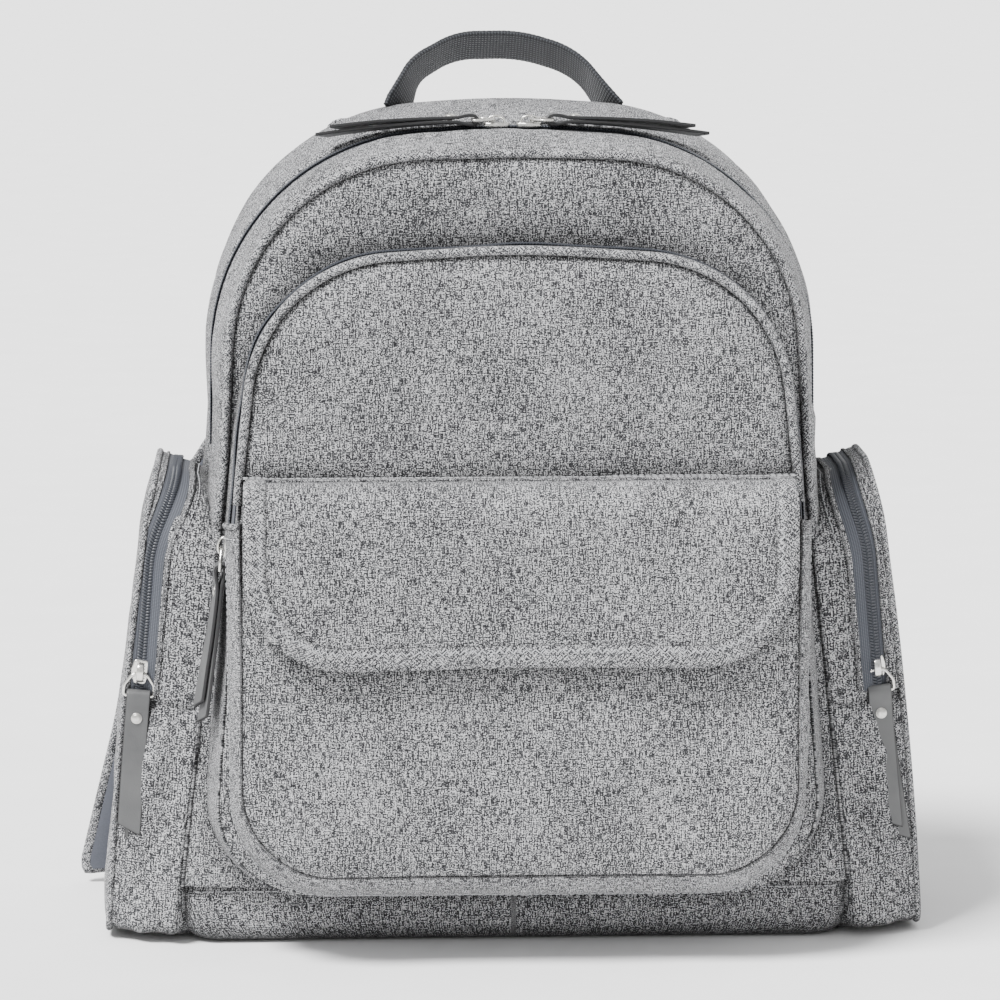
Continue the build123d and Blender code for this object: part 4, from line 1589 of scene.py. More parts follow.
def turn_to(piece: bpy.types.Object, way: tuple) -> None:
    """Turns a sheet's faces so that most of them look one way.

    Args:
        piece: Mesh object.
        way: Direction.
    """
    normals = np.empty(len(piece.data.polygons) * 3)
    piece.data.polygons.foreach_get("normal", normals)
    if (normals.reshape(-1, 3) @ np.array(way, float)).sum() < 0:
        piece.data.flip_normals()


@dataclass
class LowerPocket:
    """Patch pocket with a gusset that spreads from its face to the bag."""

    kit: Kit
    face_y: float = field(default_factory=lambda: corners("lower_pocket_front")[0][1])
    back_y: float = field(default_factory=lambda: corners("lower_pocket_gusset")[1][1])
    top: float = field(default_factory=lambda: corners("lower_pocket_front")[1][2])
    wall_top: float = field(default_factory=lambda: corners("lower_pocket_gusset")[1][2])
    foot: float = field(default_factory=lambda: corners("lower_pocket_gusset")[0][2])
    half: float = 134.0
    back_half: float = 141.0
    rise: float = 14.5
    crown: float = 0.9

    def outline(self, t: float, top: float) -> Array:
        """U-shaped outline from the top left round the foot to the top right.

        Args:
            t: 0 at the face, 1 at the bag.
            top: Height of its ends.

        Returns:
            Points in (x, z).
        """
        half = self.half + (self.back_half - self.half) * t
        low = self.half + 0.5 + (self.back_half - self.half) * 0.5 * t
        foot = self.foot + self.rise * (1 - t)
        corner = 44 + 4 * t
        return rounded([(-half, top), (-low, foot), (low, foot), (half, top)], [corner, corner], 361)

    def wall(self, t: Array, lift: float = 0.0) -> tuple[Array, Array]:
        """Gusset surface for fractions t from face to bag, and lengths along it."""
        front, back = self.outline(0, self.wall_top + 3), self.outline(1, self.wall_top)
        flat = front[:, None] * (1 - t)[None, :, None] + back[:, None] * t[None, :, None]
        tangent = unit(np.gradient(front, axis=0))
        outward = np.stack([tangent[:, 1], -tangent[:, 0]], 1)
        along = length_along(front)
        y = self.face_y + (self.back_y - self.face_y) * t
        wavy = swell(
            along[:, None], t[None] * 26, 48, 71
        ) * 0.9 + swell(along[:, None], t[None] * 26, 20, 72) * 0.3
        rise = np.sin(np.pi * t)[None] * (2.2 + wavy) + lift
        flat = flat + outward[:, None] * rise[..., None]
        depth = np.broadcast_to(y[None], flat.shape[:2])
        return np.stack([flat[..., 0], depth, flat[..., 1]], -1), along

    def relief(self, x: Array, z: Array, gap: Array) -> Array:
        """How far the face stands out at a point and its distance from the seam."""
        wavy = swell(x, z, 90, 81) * 1.4 + swell(x, z, 33, 82) * 0.45
        sag = crease(x, z, (-112, 118), (-60, 82), 15) + crease(x, z, (108, 110), (70, 66), 16)
        low = smooth_step(150 - z, -12, 70) * 5.5
        hung = 0.35 + 0.65 * smooth_step(150 - z, -12, 40)
        return (1 - np.exp(-gap / 9)) * (
            self.crown + low + wavy * hung - sag * 1.3
        ) - np.exp(-gap / 1.6) * 2.0

    def build(self) -> None:
        """Makes and dresses the pocket."""
        kit = self.kit
        t = np.linspace(0, 1, 18)
        grid, along = self.wall(t)
        uv = np.stack(np.broadcast_arrays((t * 26)[None], along[:, None]), -1)
        wall = put_grid("lower_gusset_cloth", grid, uv)
        thicken(wall, 1.3)
        kit.dress(wall, "shell_fabric", "bag", "", "lower_pocket_gusset")
        flat, gap = fill(self.outline(0, self.top), self.foot + 62, self.top, 76)
        x, z = flat[..., 0], flat[..., 1]
        piece = put_grid(
            "lower_face_cloth", np.stack([x, self.face_y - self.relief(x, z, gap), z], -1), flat
        )
        weld(piece)
        turn_to(piece, (0, -1, 0))
        thicken(piece, 1.3)
        kit.dress(piece, "shell_fabric", "bag", "", "lower_pocket_front")
        seam = self.outline(0, self.top)
        path = np.stack([seam[:, 0], np.full(len(seam), self.face_y + 0.4), seam[:, 1]], 1)
        rim = put_sweep("lower_face_seam", path, np.array([0, -1.0, 0]), ring_profile(1.0, 1.0, 2, 10))
        kit.dress(rim, "shell_fabric", "bag")
        self.hems(grid)

    def hems(self, grid: Array) -> None:
        """Stitched hems: at the gusset's two top ends, along the mouth and by the bag's seam."""
        kit = self.kit
        for name, row in (("left", grid[0]), ("right", grid[-1])):
            fold = put_sweep(
                f"lower_hem_{name}", row, np.array([1.0, 0, 0]), ring_profile(1.3, 1.5, 2.4, 10)
            )
            kit.dress(fold, "shell_fabric", "bag")
            side = -1.0 if name == "left" else 1.0
            line = row + np.array([side * 0.5, 0, -6.0])
            kit.sew(f"lower_hem_stitch_{name}", line, np.array([side, -0.3, 0]))
        x = np.linspace(-self.half + 1, self.half - 1, 120)
        gap = self.half - np.abs(x)
        y = self.face_y - self.relief(x, np.full(120, self.top - 1), gap)
        mouth = np.stack([x, y + 0.6, np.full(120, self.top)], 1)
        fold = put_sweep("lower_mouth_hem", mouth, np.array([0, 0, 1.0]), ring_profile(1.4, 1.3, 2.4, 12))
        kit.dress(fold, "shell_fabric", "bag")
        back, _ = self.wall(np.array([0.86]), 0.15)
        seam = back[:, 0]
        low = seam[:, 2] < 200
        kit.sew(
            "lower_gusset_stitch", seam[low],
            unit(np.gradient(seam[low], axis=0))[:, [2, 1, 0]] * [1, 0, -1], 3.4, 2.4, 0.22
        )


@dataclass
class Flap:
    """Flap over the lower pocket: one draped sheet, bias binding with a zigzag stitch."""

    kit: Kit
    hinge_y: float = -99.0
    top: float = field(default_factory=lambda: corners("flap")[1][2])
    front_y: float = field(default_factory=lambda: corners("flap_binding")[0][1])
    half: float = field(default_factory=lambda: corners("flap_binding")[1][0])
    hem_z: float = field(default_factory=lambda: corners("flap_binding")[0][2])
    bend: float = 17.0
    corner: float = 47.0
    binding: float = 10.0
    thick: float = 2.6

    def drop(self) -> float:
        """Length of the sheet from its hinge line to its hem."""
        return 2.4 + self.bend * np.pi / 2 + (self.top - self.bend - self.hem_z)

    def drape(self, x: Array, h: Array, lift: Array | float = 0.0) -> Array:
        """Where a point of the sheet lies.

        The sheet goes a little forward, bends down by a quarter circle and hangs. Its lower
        part stands off, and its hem runs in slow waves.

        Args:
            x: Place across.
            h: Distance down from the hinge line.
            lift: Added along the outward normal.

        Returns:
            Points.
        """
        flat = 2.4
        angle = np.clip((h - flat) / self.bend, 0, np.pi / 2)
        down = np.maximum(h - flat - self.bend * np.pi / 2, 0)
        free = smooth_step(h, 25, self.drop())
        wave = 1.3 * np.sin(x / 37 + 0.6) + 0.9 * np.sin(x / 19 + 2.1) + 0.8 * np.sin(x / 71 + 4.0)
        puff = 2.6 * np.sin(np.pi * np.clip(h / self.drop(), 0, 1)) * (1 - (x / self.half) ** 2 * 0.6)
        fine = swell(x, h, 42, 91) * 0.5 * smooth_step(h, 2, 20)
        out = wave * free**1.5 + puff + fine + 4.5 * free**1.4
        out = np.maximum(out, 4.2 * free)
        snap = np.exp(-((x / 50) ** 2) - ((h - self.drop() + 26) / 34) ** 2)
        out = out * (1 - 0.97 * snap)
        turned = np.sin(angle)
        y = self.hinge_y - np.minimum(h, flat) - self.bend * turned - out * turned - lift * turned
        slump = 0.7 * np.sin(x / 52 + 1.0) * free
        z = self.top - self.bend * (1 - np.cos(angle)) - down + (out * 0.35 + lift) * np.cos(angle) + slump
        return np.stack(np.broadcast_arrays(x, y, z), -1)

    def edge(self) -> Array:
        """Cut edge in (x, -h), from the left end of the hinge line round to the right end."""
        low = -self.drop()
        return rounded(
            [(-self.half, 0), (-self.half - 0.5, low), (self.half + 0.5, low), (self.half, 0)],
            [self.corner, self.corner], 361,
        )

    def inward(self, edge: Array) -> Array:
        """Direction from the cut edge into the sheet."""
        tangent = unit(np.gradient(edge, axis=0))
        return np.stack([-tangent[:, 1], tangent[:, 0]], 1)

    def build(self) -> None:
        """Makes and dresses the flap."""
        self.sheet()
        self.bind()
        self.hem()
        self.snap()

    def bent(self, piece: bpy.types.Object) -> None:
        """Bakes a piece's transform into its mesh."""
        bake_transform(piece)

    def sheet(self) -> None:
        """Cloth face and lining as one folded skin."""
        flat, _ = fill(self.edge(), -self.drop() + 40, 0, 70)
        x, h = flat[..., 0], -flat[..., 1]
        front = put_grid("flap_cloth", self.drape(x, h), flat)
        back = put_grid("flap_back", self.drape(x, h, -self.thick), flat)
        for piece, way in ((front, (0, -1, 0.3)), (back, (0, 1, -0.3))):
            weld(piece)
            turn_to(piece, way)
        join(front, back)
        self.kit.dress(front, "shell_fabric", "", "", "flap")
        self.bent(front)

    def bind(self) -> None:
        """Folded binding over the edge, a little proud on both faces, and its zigzag."""
        edge = self.edge()
        inward = self.inward(edge)
        round_it = np.linspace(0, 1, 12)
        reach = np.concatenate([self.binding * (1 - round_it), [-0.7, -0.9, -0.7], self.binding * round_it])
        bulge = 1.1 * (1 - np.abs(2 * round_it - 1) ** 6) + 0.4
        lift = np.concatenate([bulge, [0.2, -self.thick / 2, -self.thick - 0.2], -self.thick - bulge])
        place = edge[:, None] + inward[:, None] * reach[None, :, None]
        grid = self.drape(place[..., 0], -place[..., 1], lift[None])
        along = length_along(edge)
        uv = np.stack(np.broadcast_arrays(reach[None] + np.sign(lift)[None] * 40, along[:, None]), -1)
        piece = closed_grid("flap_bias_binding", grid, uv)
        self.kit.dress(piece, "bias_binding", "", "", "flap_binding")
        self.bent(piece)
        count = int(along[-1] / 2.1)
        even = resample(np.hstack([edge, inward]), count)
        swing = np.where(np.arange(count) % 2 == 0, 1.0, -1.0) * 1.0
        line = even[:, :2] + even[:, 2:] * (self.binding - 2.6 + swing)[:, None]
        at = self.drape(line[:, 0], -line[:, 1], np.full(count, 1.5))
        middle, run = (at[1:] + at[:-1]) / 2, np.diff(at, axis=0)
        shape, faces = capsule(2.9, 0.26)
        keep = middle[:, 2] < self.top - 14
        rows = scatter(
            "flap_zigzag", middle[keep], run[keep], np.array([0, -1.0, 0.2]) + 0 * run[keep], shape, faces
        )
        self.kit.dress(rows, "thread", "flap", "bias_binding")

    def hem(self) -> None:
        """Sewn root of the flap, flat on the arched pocket, with two rows of stitches."""
        x = np.linspace(-self.half, self.half, 120)
        low, high = corners("flap_hem")
        path = np.stack([x, np.full(120, (low[1] + high[1]) / 2), np.full(120, high[2] - 0.3)], 1)
        band = put_sweep(
            "flap_root", path, np.array([0, 0, 1.0]), ring_profile(1.5, (high[1] - low[1]) / 2 + 0.8, 6, 18)
        )
        self.kit.dress(band, "shell_fabric", "bag", "", "flap_hem")
        for k, y in enumerate((-92.0, -96.0)):
            line = np.stack([x, np.full(120, y), np.full(120, high[2] + 1.1)], 1)
            self.kit.sew(f"flap_root_stitch_{k}", line, np.array([0, 0, 1.0]))

    def snap(self) -> None:
        """Two halves of the magnetic snap."""
        for node, body, sign in (("snap_socket", "bag", -1), ("snap_stud", "flap", 1)):
            low, high = corners(node)
            middle = (low + high) / 2
            r, half = (high[0] - low[0]) / 2, (high[1] - low[1]) / 2
            profile = [
                (0, -half), (r - 0.6, -half), (r, -half + 0.4), (r - 0.3, half - 0.3), (r * 0.8, half),
                (0, half)
            ]
            axes = ((1, 0, 0), (0, 0, -sign), (0, sign, 0))
            self.kit.dress(lathe(f"{node}_disc", profile, middle, axes, 40), "snap_metal", body, "", node)


# ---------------------------------------------------------------- side pockets


@dataclass
class SidePocket:
    """Zipped pocket on one side: outer panel, gusset sewn to the bag's front corner, zip."""

    kit: Kit
    side: int
    lean: float = 5.17
    root: float = 170.9
    front: float = -48.0
    back: float = 56.0
    top: float = 232.0
    zip_n: float = 25.0
    tape_half: float = 4.6
    inner: float = 6.6
    zip_from: float = 121.0
    seam: float = 118.0
    count: int = 481

    @property
    def name(self) -> str:
        """Left or right."""
        return "left" if self.side < 0 else "right"

    def world(self, n: Array, q: Array, p: Array) -> Array:
        """Points from the pocket's own axes: n outwards, q up, p to the back."""
        a = np.radians(self.lean)
        x = self.side * (self.root + n * np.cos(a) - q * np.sin(a))
        z = 1.0 + n * np.sin(a) + q * np.cos(a)
        return np.stack(np.broadcast_arrays(x, p, z), -1)

    def outline(self) -> Array:
        """Closed outline in (p, q), from the middle of the foot round by the front."""
        m = (self.front + self.back) / 2
        loop = [
            (m, 0), (self.front, 0), (self.front, self.top), (self.back, self.top), (self.back, 0), (m, 0)
        ]
        return rounded(loop, [12, 38, 38, 12], self.count)

    def rim(self, q: Array) -> Array:
        """How far out the panel's seam is at a height: it leans in towards the top."""
        low = 1.2 * np.sin(np.clip(q, 0, 150) / 150 * np.pi)
        return 31.0 + low - 2.4 * smooth_step(q, 140, 210) - 2.8 * smooth_step(q, 200, self.top + 4)

    def track(self, q: Array) -> Array:
        """How far out the zip is at a height."""
        return self.zip_n - (9.0 if self.side < 0 else 5.5) * smooth_step(q, 186, self.top + 4)

    def skin(self, edge: Array, n: Array, lift: Array | float = 0.0) -> tuple[Array, Array]:
        """Gusset surface.

        At the front and back its inner side runs on to the bag's corner, its top slopes down
        to the bag, and it swells between its seams with folds that run up and down.

        Args:
            edge: Outline points in (p, q).
            n: Places outwards, one row for each outline point.
            lift: Added outwards from the outline.

        Returns:
            Points, and the outward directions.
        """
        tangent = unit(np.gradient(edge, axis=0))
        out = np.stack([-tangent[:, 1], tangent[:, 0]], 1)
        p, q = edge[:, :1], edge[:, 1:]
        t = np.clip(n / self.rim(q), -0.5, 1)
        facing = np.clip(-out[:, :1], 0, 1)
        behind = np.clip(out[:, :1], 0, 1)
        upward = np.clip(out[:, 1:], 0, 1)
        near = np.clip(1 - t, 0, 1)
        along = length_along(edge)[:, None]
        wavy = swell(
            along * 0.5, n * 1.6, 24, 101 + self.side
        ) * 1.5 + swell(along, n, 20, 105 + self.side) * 0.4
        low_fold = crease(q + 0 * n, n + 0 * q, (self.seam - 2, 2), (20, 14), 5.5) * 3.0
        groove = 2.4 * np.exp(-(((q - self.seam) / 1.7) ** 2)) * (t < 0.97) * facing
        full = np.sin(np.pi * np.clip(0.1 + 0.9 * t, 0, 1)) ** 0.8
        under = smooth_step(self.seam - q, 0, 30) * 1.6 * facing
        calm = 1 - 0.93 * np.exp(
            -(((n - self.track(q)) / 7.0) ** 2)
        ) * smooth_step(q, self.seam - 6, self.seam + 6)
        rise = full * calm * (
            1.9 + wavy * (0.4 + 0.6 * (q < self.seam)) + under - low_fold * facing
        ) - groove
        edge_in = 1.4 * np.exp(-((1 - t) / 0.035) ** 2)
        rise = rise - edge_in + lift
        toward = facing * (near**1.2 * 12.0 - np.clip(-t, 0, 1) * 34.0)
        away = behind * near**1.2 * 6.0
        drop = upward * near**1.2 * 9.0
        new_p = p - toward + away + out[:, :1] * rise
        new_q = q - drop + out[:, 1:] * rise * np.where(q < 4, 0.15, 1.0)
        new_n = n - near**2 * facing * (1 + 8 * np.clip(q / self.top, 0, 1))
        grid = self.world(new_n, np.maximum(new_q, -0.6), new_p)
        flat = self.world(
            np.zeros(len(edge)), out[:, 1], out[:, 0]
        ) - self.world(np.zeros(1), np.zeros(1), np.zeros(1))
        return grid, flat

    def build(self) -> None:
        """Makes and dresses the pocket."""
        kit, name = self.kit, self.name
        edge = self.outline()
        share = np.concatenate([[-0.36, -0.24, -0.12], np.linspace(-0.04, 1, 29)])
        tucked = np.where(share < -0.05, share * smooth_step(90 - edge[:, 1:], 0, 30), share[None])
        n = self.rim(edge[:, 1:]) * tucked
        grid, _ = self.skin(edge, n)
        along = length_along(edge)
        uv = np.stack([n, np.broadcast_to(along[:, None], n.shape)], -1)
        wall = put_grid(f"side_{name}_gusset_cloth", grid, uv)
        self.outward(wall)
        thicken(wall, 1.4)
        kit.dress(wall, "shell_fabric", "bag", "", f"side_pocket_{name}_gusset")
        self.panel(edge)
        self.piping(edge)
        self.zip(edge)
        s = self.side
        origin = self.world(np.array(self.zip_n), np.array(132.0), np.array(self.front))
        a = np.radians(self.lean)
        u, v = (-np.cos(a), 0, -s * np.sin(a)), (s * np.sin(a), 0, -np.cos(a))
        PullSet(kit, f"side_{name}", tuple(origin), (u, v, (0, -1, 0))).build()

    def outward(self, piece: bpy.types.Object) -> None:
        """Turns a gusset's faces away from the pocket's middle."""
        data = piece.data
        count = len(data.polygons)
        normals, centres = np.empty(count * 3), np.empty(count * 3)
        data.polygons.foreach_get("normal", normals)
        data.polygons.foreach_get("center", centres)
        middle = self.world(np.array(15.0), np.array(118.0), np.array(4.0)) * MM
        away = centres.reshape(-1, 3) - middle
        if np.sum(normals.reshape(-1, 3) * away) < 0:
            data.flip_normals()

    def panel(self, edge: Array) -> None:
        """Outer panel, swelling outwards, softest low down."""
        m = (self.front + self.back) / 2
        flat, gap = fill(edge - [m, 0], 44, self.top - 50, 48)
        p, q = flat[..., 0] + m, flat[..., 1]
        wavy = swell(p, q, 60, 111 + self.side) * 1.2 + swell(p, q, 25, 115) * 0.4
        stand = (1 - np.exp(-gap / 7)) * (2.6 + wavy) - np.exp(-gap / 1.3)
        piece = put_grid(
            f"side_{self.name}_panel_cloth", self.world(self.rim(q) + stand, q, p), np.stack([p, q], -1)
        )
        weld(piece)
        turn_to(piece, (self.side, 0, 0))
        thicken(piece, 1.4)
        self.kit.dress(piece, "shell_fabric", "bag", "", f"side_pocket_{self.name}_panel")

    def piping(self, edge: Array) -> None:
        """Narrow piping where the gusset meets the panel, and the seam's stitches."""
        path = self.world(self.rim(edge[:, 1]) - 0.4, edge[:, 1], edge[:, 0])[:-1]
        outward = np.array([self.side, 0.0, 0.0])
        rim = put_sweep(f"side_{self.name}_piping", path, outward, ring_profile(1.7, 1.6, 2, 10), True)
        self.kit.dress(rim, "bias_binding", "bag", "shell_fabric")
        n = np.linspace(1.0, 28.0, 24)[None]
        below = self.seam - 3.0
        line = np.array([[self.front, below + step] for step in (0.5, 0.0, -0.5)])
        row, _ = self.skin(line, np.repeat(n, 3, 0), 0.25)
        self.kit.sew(f"side_{self.name}_seam_stitch", row[1], np.array([0, -1.0, 0]))

    def zip(self, edge: Array) -> None:
        """Tape, coil, folded hem beside the tape and its stitches."""
        kit = self.kit
        keep = edge[:, 1] > self.zip_from
        path = edge[keep]
        track = self.track(path[:, 1:])
        along = length_along(path)[:, None]
        reach = np.linspace(-self.inner - 0.6, self.tape_half, 11)[None]
        grid, out = self.skin(path, track + reach, 0.5 - 0.03 * np.abs(reach))
        uv = np.stack(np.broadcast_arrays(reach, along), -1)
        tape = put_grid(f"side_{self.name}_zip_cloth", grid, uv)
        self.outward(tape)
        thicken(tape, 0.6)
        nodes = ("side_zip_tapes",) if self.side < 0 else ()
        kit.dress(tape, "zip_tape", "bag", "", *nodes)
        centre, _ = self.skin(path, track, 0.7)
        nodes = ("side_zip_coils",) if self.side < 0 else ()
        kit.dress(
            coil_teeth(f"side_{self.name}_zip_teeth", centre[:, 0], out), "zip_coil", "bag", "", *nodes
        )
        fold_at, _ = self.skin(path, track - self.inner - 0.9, 0.7)
        across = fold_at[:, 0] * 0 + out
        fold = put_sweep(
            f"side_{self.name}_zip_hem", fold_at[:, 0], across, ring_profile(0.7, 1.5, 2.6, 10)
        )
        kit.dress(fold, "shell_fabric", "bag")
        row, _ = self.skin(path, track - self.inner - 4.0, 0.2)
        kit.sew(f"side_{self.name}_hem_stitch", row[:, 0], out)
        outer, _ = self.skin(path, track + self.tape_half + 0.5, 0.6)
        fold = put_sweep(f"side_{self.name}_zip_edge", outer[:, 0], across, ring_profile(0.55, 0.8, 2.6, 8))
        kit.dress(fold, "shell_fabric", "bag")


# ---------------------------------------------------------------- handle and straps


@dataclass
class Handle:
    """Webbing loop sewn into the top seam."""

    kit: Kit
    hinge: tuple = (64.5, 407.4)
    back: float = 35.0
    width: float = 12.5
    thick: float = 1.25

    def build(self) -> None:
        """Makes the band: an arch in a plane that leans back, its ends turned a little outwards."""
        arch = rounded(
            [(-56, -9), (-46, 17), (-25, 32), (8, 32.5), (36, 22), (55, -9)], [26, 34, 60, 40], 160
        )
        a = np.radians(self.back)
        lean = 1.0 - 0.25 * np.clip(np.abs(arch[:, 0]) / 54, 0, 1) ** 4
        angle = a * lean
        y = self.hinge[0] + arch[:, 1] * np.sin(angle)
        z = self.hinge[1] + arch[:, 1] * np.cos(angle)
        path = np.stack([arch[:, 0], y, z], 1)
        normal = np.stack([np.zeros(160), -np.cos(a * np.ones(160)), np.sin(a * np.ones(160))], 1)
        twist = np.clip(np.abs(arch[:, 0]) / 54, 0, 1) ** 8 * np.where(arch[:, 0] < 0, -0.5, 0.3)
        normal = normal + np.stack([twist, np.zeros(160), np.zeros(160)], 1)
        profile = ring_profile(self.width, self.thick, 7, 40)
        scallop = 1 + 0.012 * np.cos(2 * np.pi * length_along(path) / 1.5)
        shape = profile[None] * np.stack([scallop, np.ones(160)], 1)[:, None]
        band = put_sweep("carry_handle_webbing", path, normal, shape)
        self.kit.dress(band, "webbing", "", "", "carry_handle")
        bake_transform(band)


@dataclass
class Strap:
    """Padded shoulder strap with a bound edge, its ladder lock and its webbing."""

    kit: Kit
    side: int
    reach: float
    tab_x: float
    face: float = 67.6
    depth: float = 11.0

    @property
    def name(self) -> str:
        """Left or right."""
        return "left" if self.side < 0 else "right"

    def rails(self, count: int = 150) -> tuple[Array, Array]:
        """Outer and inner edge of the pad from its top to its foot, in (x, z)."""
        r = self.reach
        outer = [(78, 386), (112, 318), (140, 250), (r - 34, 180), (r - 20, 90), (r - 1, 13)]
        inner = [(20, 386), (48, 322), (78, 260), (r - 96, 180), (r - 78, 100), (r - 52, 24)]
        outer = rounded(outer, [240, 240, 240, 260], count)
        inner = rounded(inner, [240, 150, 160, 200], count)
        return outer * [self.side, 1], inner * [self.side, 1]

    def build(self) -> None:
        """Makes and dresses the pad, its two faces, its binding, and the webbing."""
        kit, body = self.kit, f"strap_{self.name}"
        outer, inner = self.rails()
        t = np.linspace(0, 1, 26)[None, :, None]
        foot = np.linspace(0, 1, 10)[1:, None]
        flat = outer[:, None] * (1 - t) + inner[:, None] * t
        bottom = flat[-1] + np.array([0.0, -6.0]) * (foot[:, :, None] * (1 + t[0]))
        flat = np.concatenate([flat, bottom], 0)
        width = np.linalg.norm(outer - inner, axis=1)
        gap = np.concatenate(
            [width, np.full(9, width[-1])]
        )[:, None] * np.minimum(t[0, :, 0], 1 - t[0, :, 0])[None]
        row = np.concatenate([np.linspace(0, 1, 150), np.ones(9)])[:, None]
        along = np.minimum(length_along(outer)[-1] * (1 - row) + 12, 400 * row + 5)
        puff = (1 - np.exp(-gap / 6)) * (1 - np.exp(-along / 7))
        wavy = swell(flat[..., 0], flat[..., 1], 45, 131 + self.side) * 0.5
        middle = self.face + self.depth / 2
        half = 1.2 + (self.depth / 2 - 1.2) * puff
        for kind, hand, finish in (("lining", -1, "strap_inner"), ("shell", 1, "strap_fabric")):
            y = middle + hand * (half + wavy * puff)
            grid = np.stack([flat[..., 0], y, flat[..., 1]], -1)
            piece = put_grid(f"strap_{self.name}_{kind}", grid, flat)
            turn_to(piece, (0, hand, 0))
            nodes = (f"strap_{self.name}_pad",) if kind == "shell" else ()
            kit.dress(piece, finish, body, "strap_fabric", *nodes)
        ring = np.concatenate([flat[:, 0], flat[-1, 1:-1], flat[::-1, -1]])
        ring = resample(np.concatenate([ring, ring[:1]]), 620)[:-1]
        path = np.stack([ring[:, 0], np.full(len(ring), middle), ring[:, 1]], 1)
        bound = put_sweep(
            f"strap_{self.name}_binding", path, np.array([0, 1.0, 0]), ring_profile(2.6, 2.9, 2.6, 14), True
        )
        kit.dress(bound, "bias_binding", body, "strap_fabric")
        self.hardware(body)

    def hardware(self, body: str) -> None:
        """Ladder lock, and webbing from it to the tab at the base."""
        kit = self.kit
        low, high = corners(f"strap_{self.name}_adjuster")
        cx, cz = (low[0] + high[0]) / 2, (low[2] + high[2]) / 2
        w, h = (high[0] - low[0]) / 2, (high[2] - low[2]) / 2
        axes = ((1, 0, 0), (0, 0, 1), (0, 1, 0))
        origin = (cx, low[1], cz)
        depth = high[1] - low[1]
        frame_parts = [
            plate("rail", box_loop(-w, -w + 3.4, -h, h, 1.4), 0, depth, 0.8, origin, axes),
            plate("rail", box_loop(w - 3.4, w, -h, h, 1.4), 0, depth, 0.8, origin, axes),
        ]
        for at, size in ((-h + 2.2, 2.2), (-3.5, 2.0), (5.5, 2.0), (h - 2.2, 2.2)):
            bar = box_loop(-w + 1, w - 1, at - size, at + size, 1.2)
            frame_parts.append(plate("bar", bar, 0.6, depth - 0.4, 0.9, origin, axes))
        lock = join(frame_parts[0], *frame_parts[1:])
        lock.name = f"strap_{self.name}_ladder_lock"
        kit.dress(lock, "buckle_plastic", body, "", f"strap_{self.name}_adjuster")
        start = np.array([cx, high[1] + 0.4, cz])
        end = np.array([self.tab_x, 66.3, cz])
        hand = np.sign(end[0] - start[0])
        mid = np.array([cx + hand * (w + 7), high[1] - 2.5, cz])
        line = rounded(
            [
                tuple(start[:2] - [hand * 9, 0]), tuple(start[:2] + [hand * w * 0.6, 0.3]), tuple(mid[:2]),
                (end[0] - hand * 12, 70.0), tuple(end[:2] + [hand * 4, 0])
            ],
            [12, 14, 12], 60,
        )
        sag = np.sin(np.linspace(0, np.pi, 60)) * -2.5
        path = np.column_stack([line, cz + sag])
        ribbon = put_sweep(
            f"strap_{self.name}_ribbon", path, np.array([0, 0, 1.0]), ring_profile(12.4, 0.75, 7, 30)
        )
        kit.dress(ribbon, "webbing", "", "", f"strap_{self.name}_webbing")
        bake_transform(ribbon)


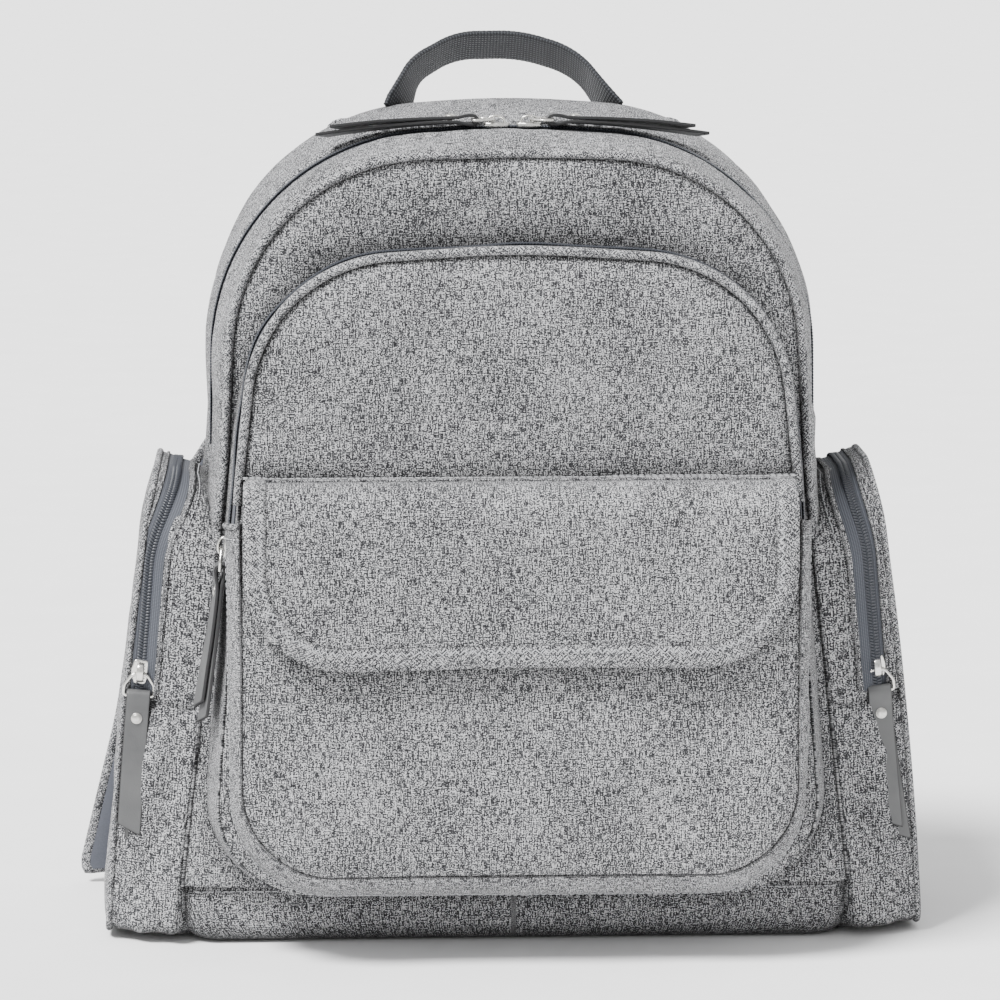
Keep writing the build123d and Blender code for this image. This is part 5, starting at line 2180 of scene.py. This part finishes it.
@dataclass
class BackTrim:
    """Yoke over the strap ends, the sewn tabs, the foam and the lining."""

    kit: Kit
    shell: Shell

    def build(self) -> None:
        """Makes and dresses the parts."""
        kit = self.kit
        low, high = corners("strap_yoke")
        axes = ((1, 0, 0), (0, 0, 1), (0, 1, 0))
        m = (low + high) / 2
        loop = box_loop(low[0] - m[0], high[0] - m[0], low[2] - m[2], high[2] - m[2], 9, 120)
        yoke = plate("strap_yoke_cloth", loop, 0, high[1] - low[1] + 0.4, 1.4, (m[0], low[1], m[2]), axes)
        kit.dress(yoke, "shell_fabric", "bag", "", "strap_yoke")
        inner = box_loop(
            low[0] - m[0] + 5, high[0] - m[0] - 5, low[2] - m[2] + 5, high[2] - m[2] - 5, 5, 240
        )
        path = np.stack([inner[:, 0] + m[0], np.full(240, high[1] + 0.5), inner[:, 1] + m[2]], 1)
        kit.sew("strap_yoke_stitch", path, np.array([0, 1.0, 0]))
        self.tabs(axes)
        self.hidden()

    def tabs(self, axes: tuple) -> None:
        """Folded webbing tabs with boxed stitching."""
        low, high = corners("strap_tabs")
        cz = (low[2] + high[2]) / 2
        parts = []
        for x in (low[0] + 12.5, high[0] - 12.5):
            parts.append(
                plate("tab", box_loop(-12.5, 12.5, -12.5, 12.5, 1.5), 0, 3.0, 0.8, (x, low[1], cz), axes)
            )
            square = box_loop(-9.5, 9.5, -9.5, 9.5, 0.5, 80)
            path = np.stack([square[:, 0] + x, np.full(80, high[1] + 0.2), square[:, 1] + cz], 1)
            side = "left" if x < 0 else "right"
            self.kit.dress(
                stitches(f"strap_tab_stitch_{side}", path, np.array([0, 1.0, 0])), "thread_dark", "bag",
                "webbing"
            )
        tabs = join(parts[0], parts[1])
        tabs.name = "strap_tab_webbing"
        self.kit.dress(tabs, "webbing", "bag", "", "strap_tabs")

    def hidden(self) -> None:
        """Foam behind the back panel, and the lining as one sack."""
        shell, kit = self.shell, self.kit
        low, high = corners("back_padding")
        edge = shell.outline(high[2], 3.0, -1.5, low[2])
        flat, gap = fill(edge, low[2], high[2] - 96, 40)
        rise = (1 - np.exp(-gap / 6)) * (high[1] - low[1]) * 0.9 + 0.4
        faces = [
            put_grid("foam", np.stack([flat[..., 0], high[1] - rise * k, flat[..., 1]], -1)) for k in (0, 1)
        ]
        for piece, way in zip(faces, ((0, 1, 0), (0, -1, 0))):
            weld(piece)
            turn_to(piece, way)
        foam = join(faces[0], faces[1])
        foam.name = "back_foam"
        kit.dress(foam, "foam", "bag", "", "back_padding")
        y = np.linspace(shell.front_y + 6, low[1] - 1, 24)
        grid = shell.at(y)
        grid = grid - shell.outward(grid) * 5.0
        caps = []
        for column, depth in ((0, y[0]), (-1, y[-1])):
            inner, _ = fill(grid[:, column][:, [0, 2]], 34, grid[:, column, 2].max() - 96, 30)
            caps.append(
                put_grid(
                    "lining_side",
                    np.stack([inner[..., 0], np.full(inner.shape[:2], depth), inner[..., 1]], -1), inner
                )
            )
            weld(caps[-1])
        sack = put_grid("lining_sack", grid, grid[..., :2])
        join(sack, *caps)
        kit.dress(sack, "lining_fabric", "bag", "", "lining")


def dress_frame(kit: Kit) -> None:
    """Gives every frame node that still shows the finish of its slot."""
    slots = {part["node"]: part["material_slot"] for part in frame["record"]["subparts"]}
    for node, piece in frame["nodes"].items():
        for holder in piece.material_slots:
            holder.material = kit.made[slots[node]]


def main() -> None:
    """Builds the bag, then the studio."""
    logging.basicConfig(level=logging.INFO, format="%(message)s")
    kit = Kit()
    dress_frame(kit)
    shell = Shell(kit)
    shell.build()
    MainTrim(kit, shell).build()
    MiddlePocket(kit).build()
    LowerPocket(kit).build()
    Flap(kit).build()
    for side in (-1, 1):
        SidePocket(kit, side, zip_n=25.0 if side < 0 else 19.5).build()
    Handle(kit).build()
    Strap(kit, -1, 219.0, -139.0).build()
    Strap(kit, 1, 190.0, 110.0).build()
    BackTrim(kit, shell).build()
    Studio().build()


if __name__ == "__main__":
    main()
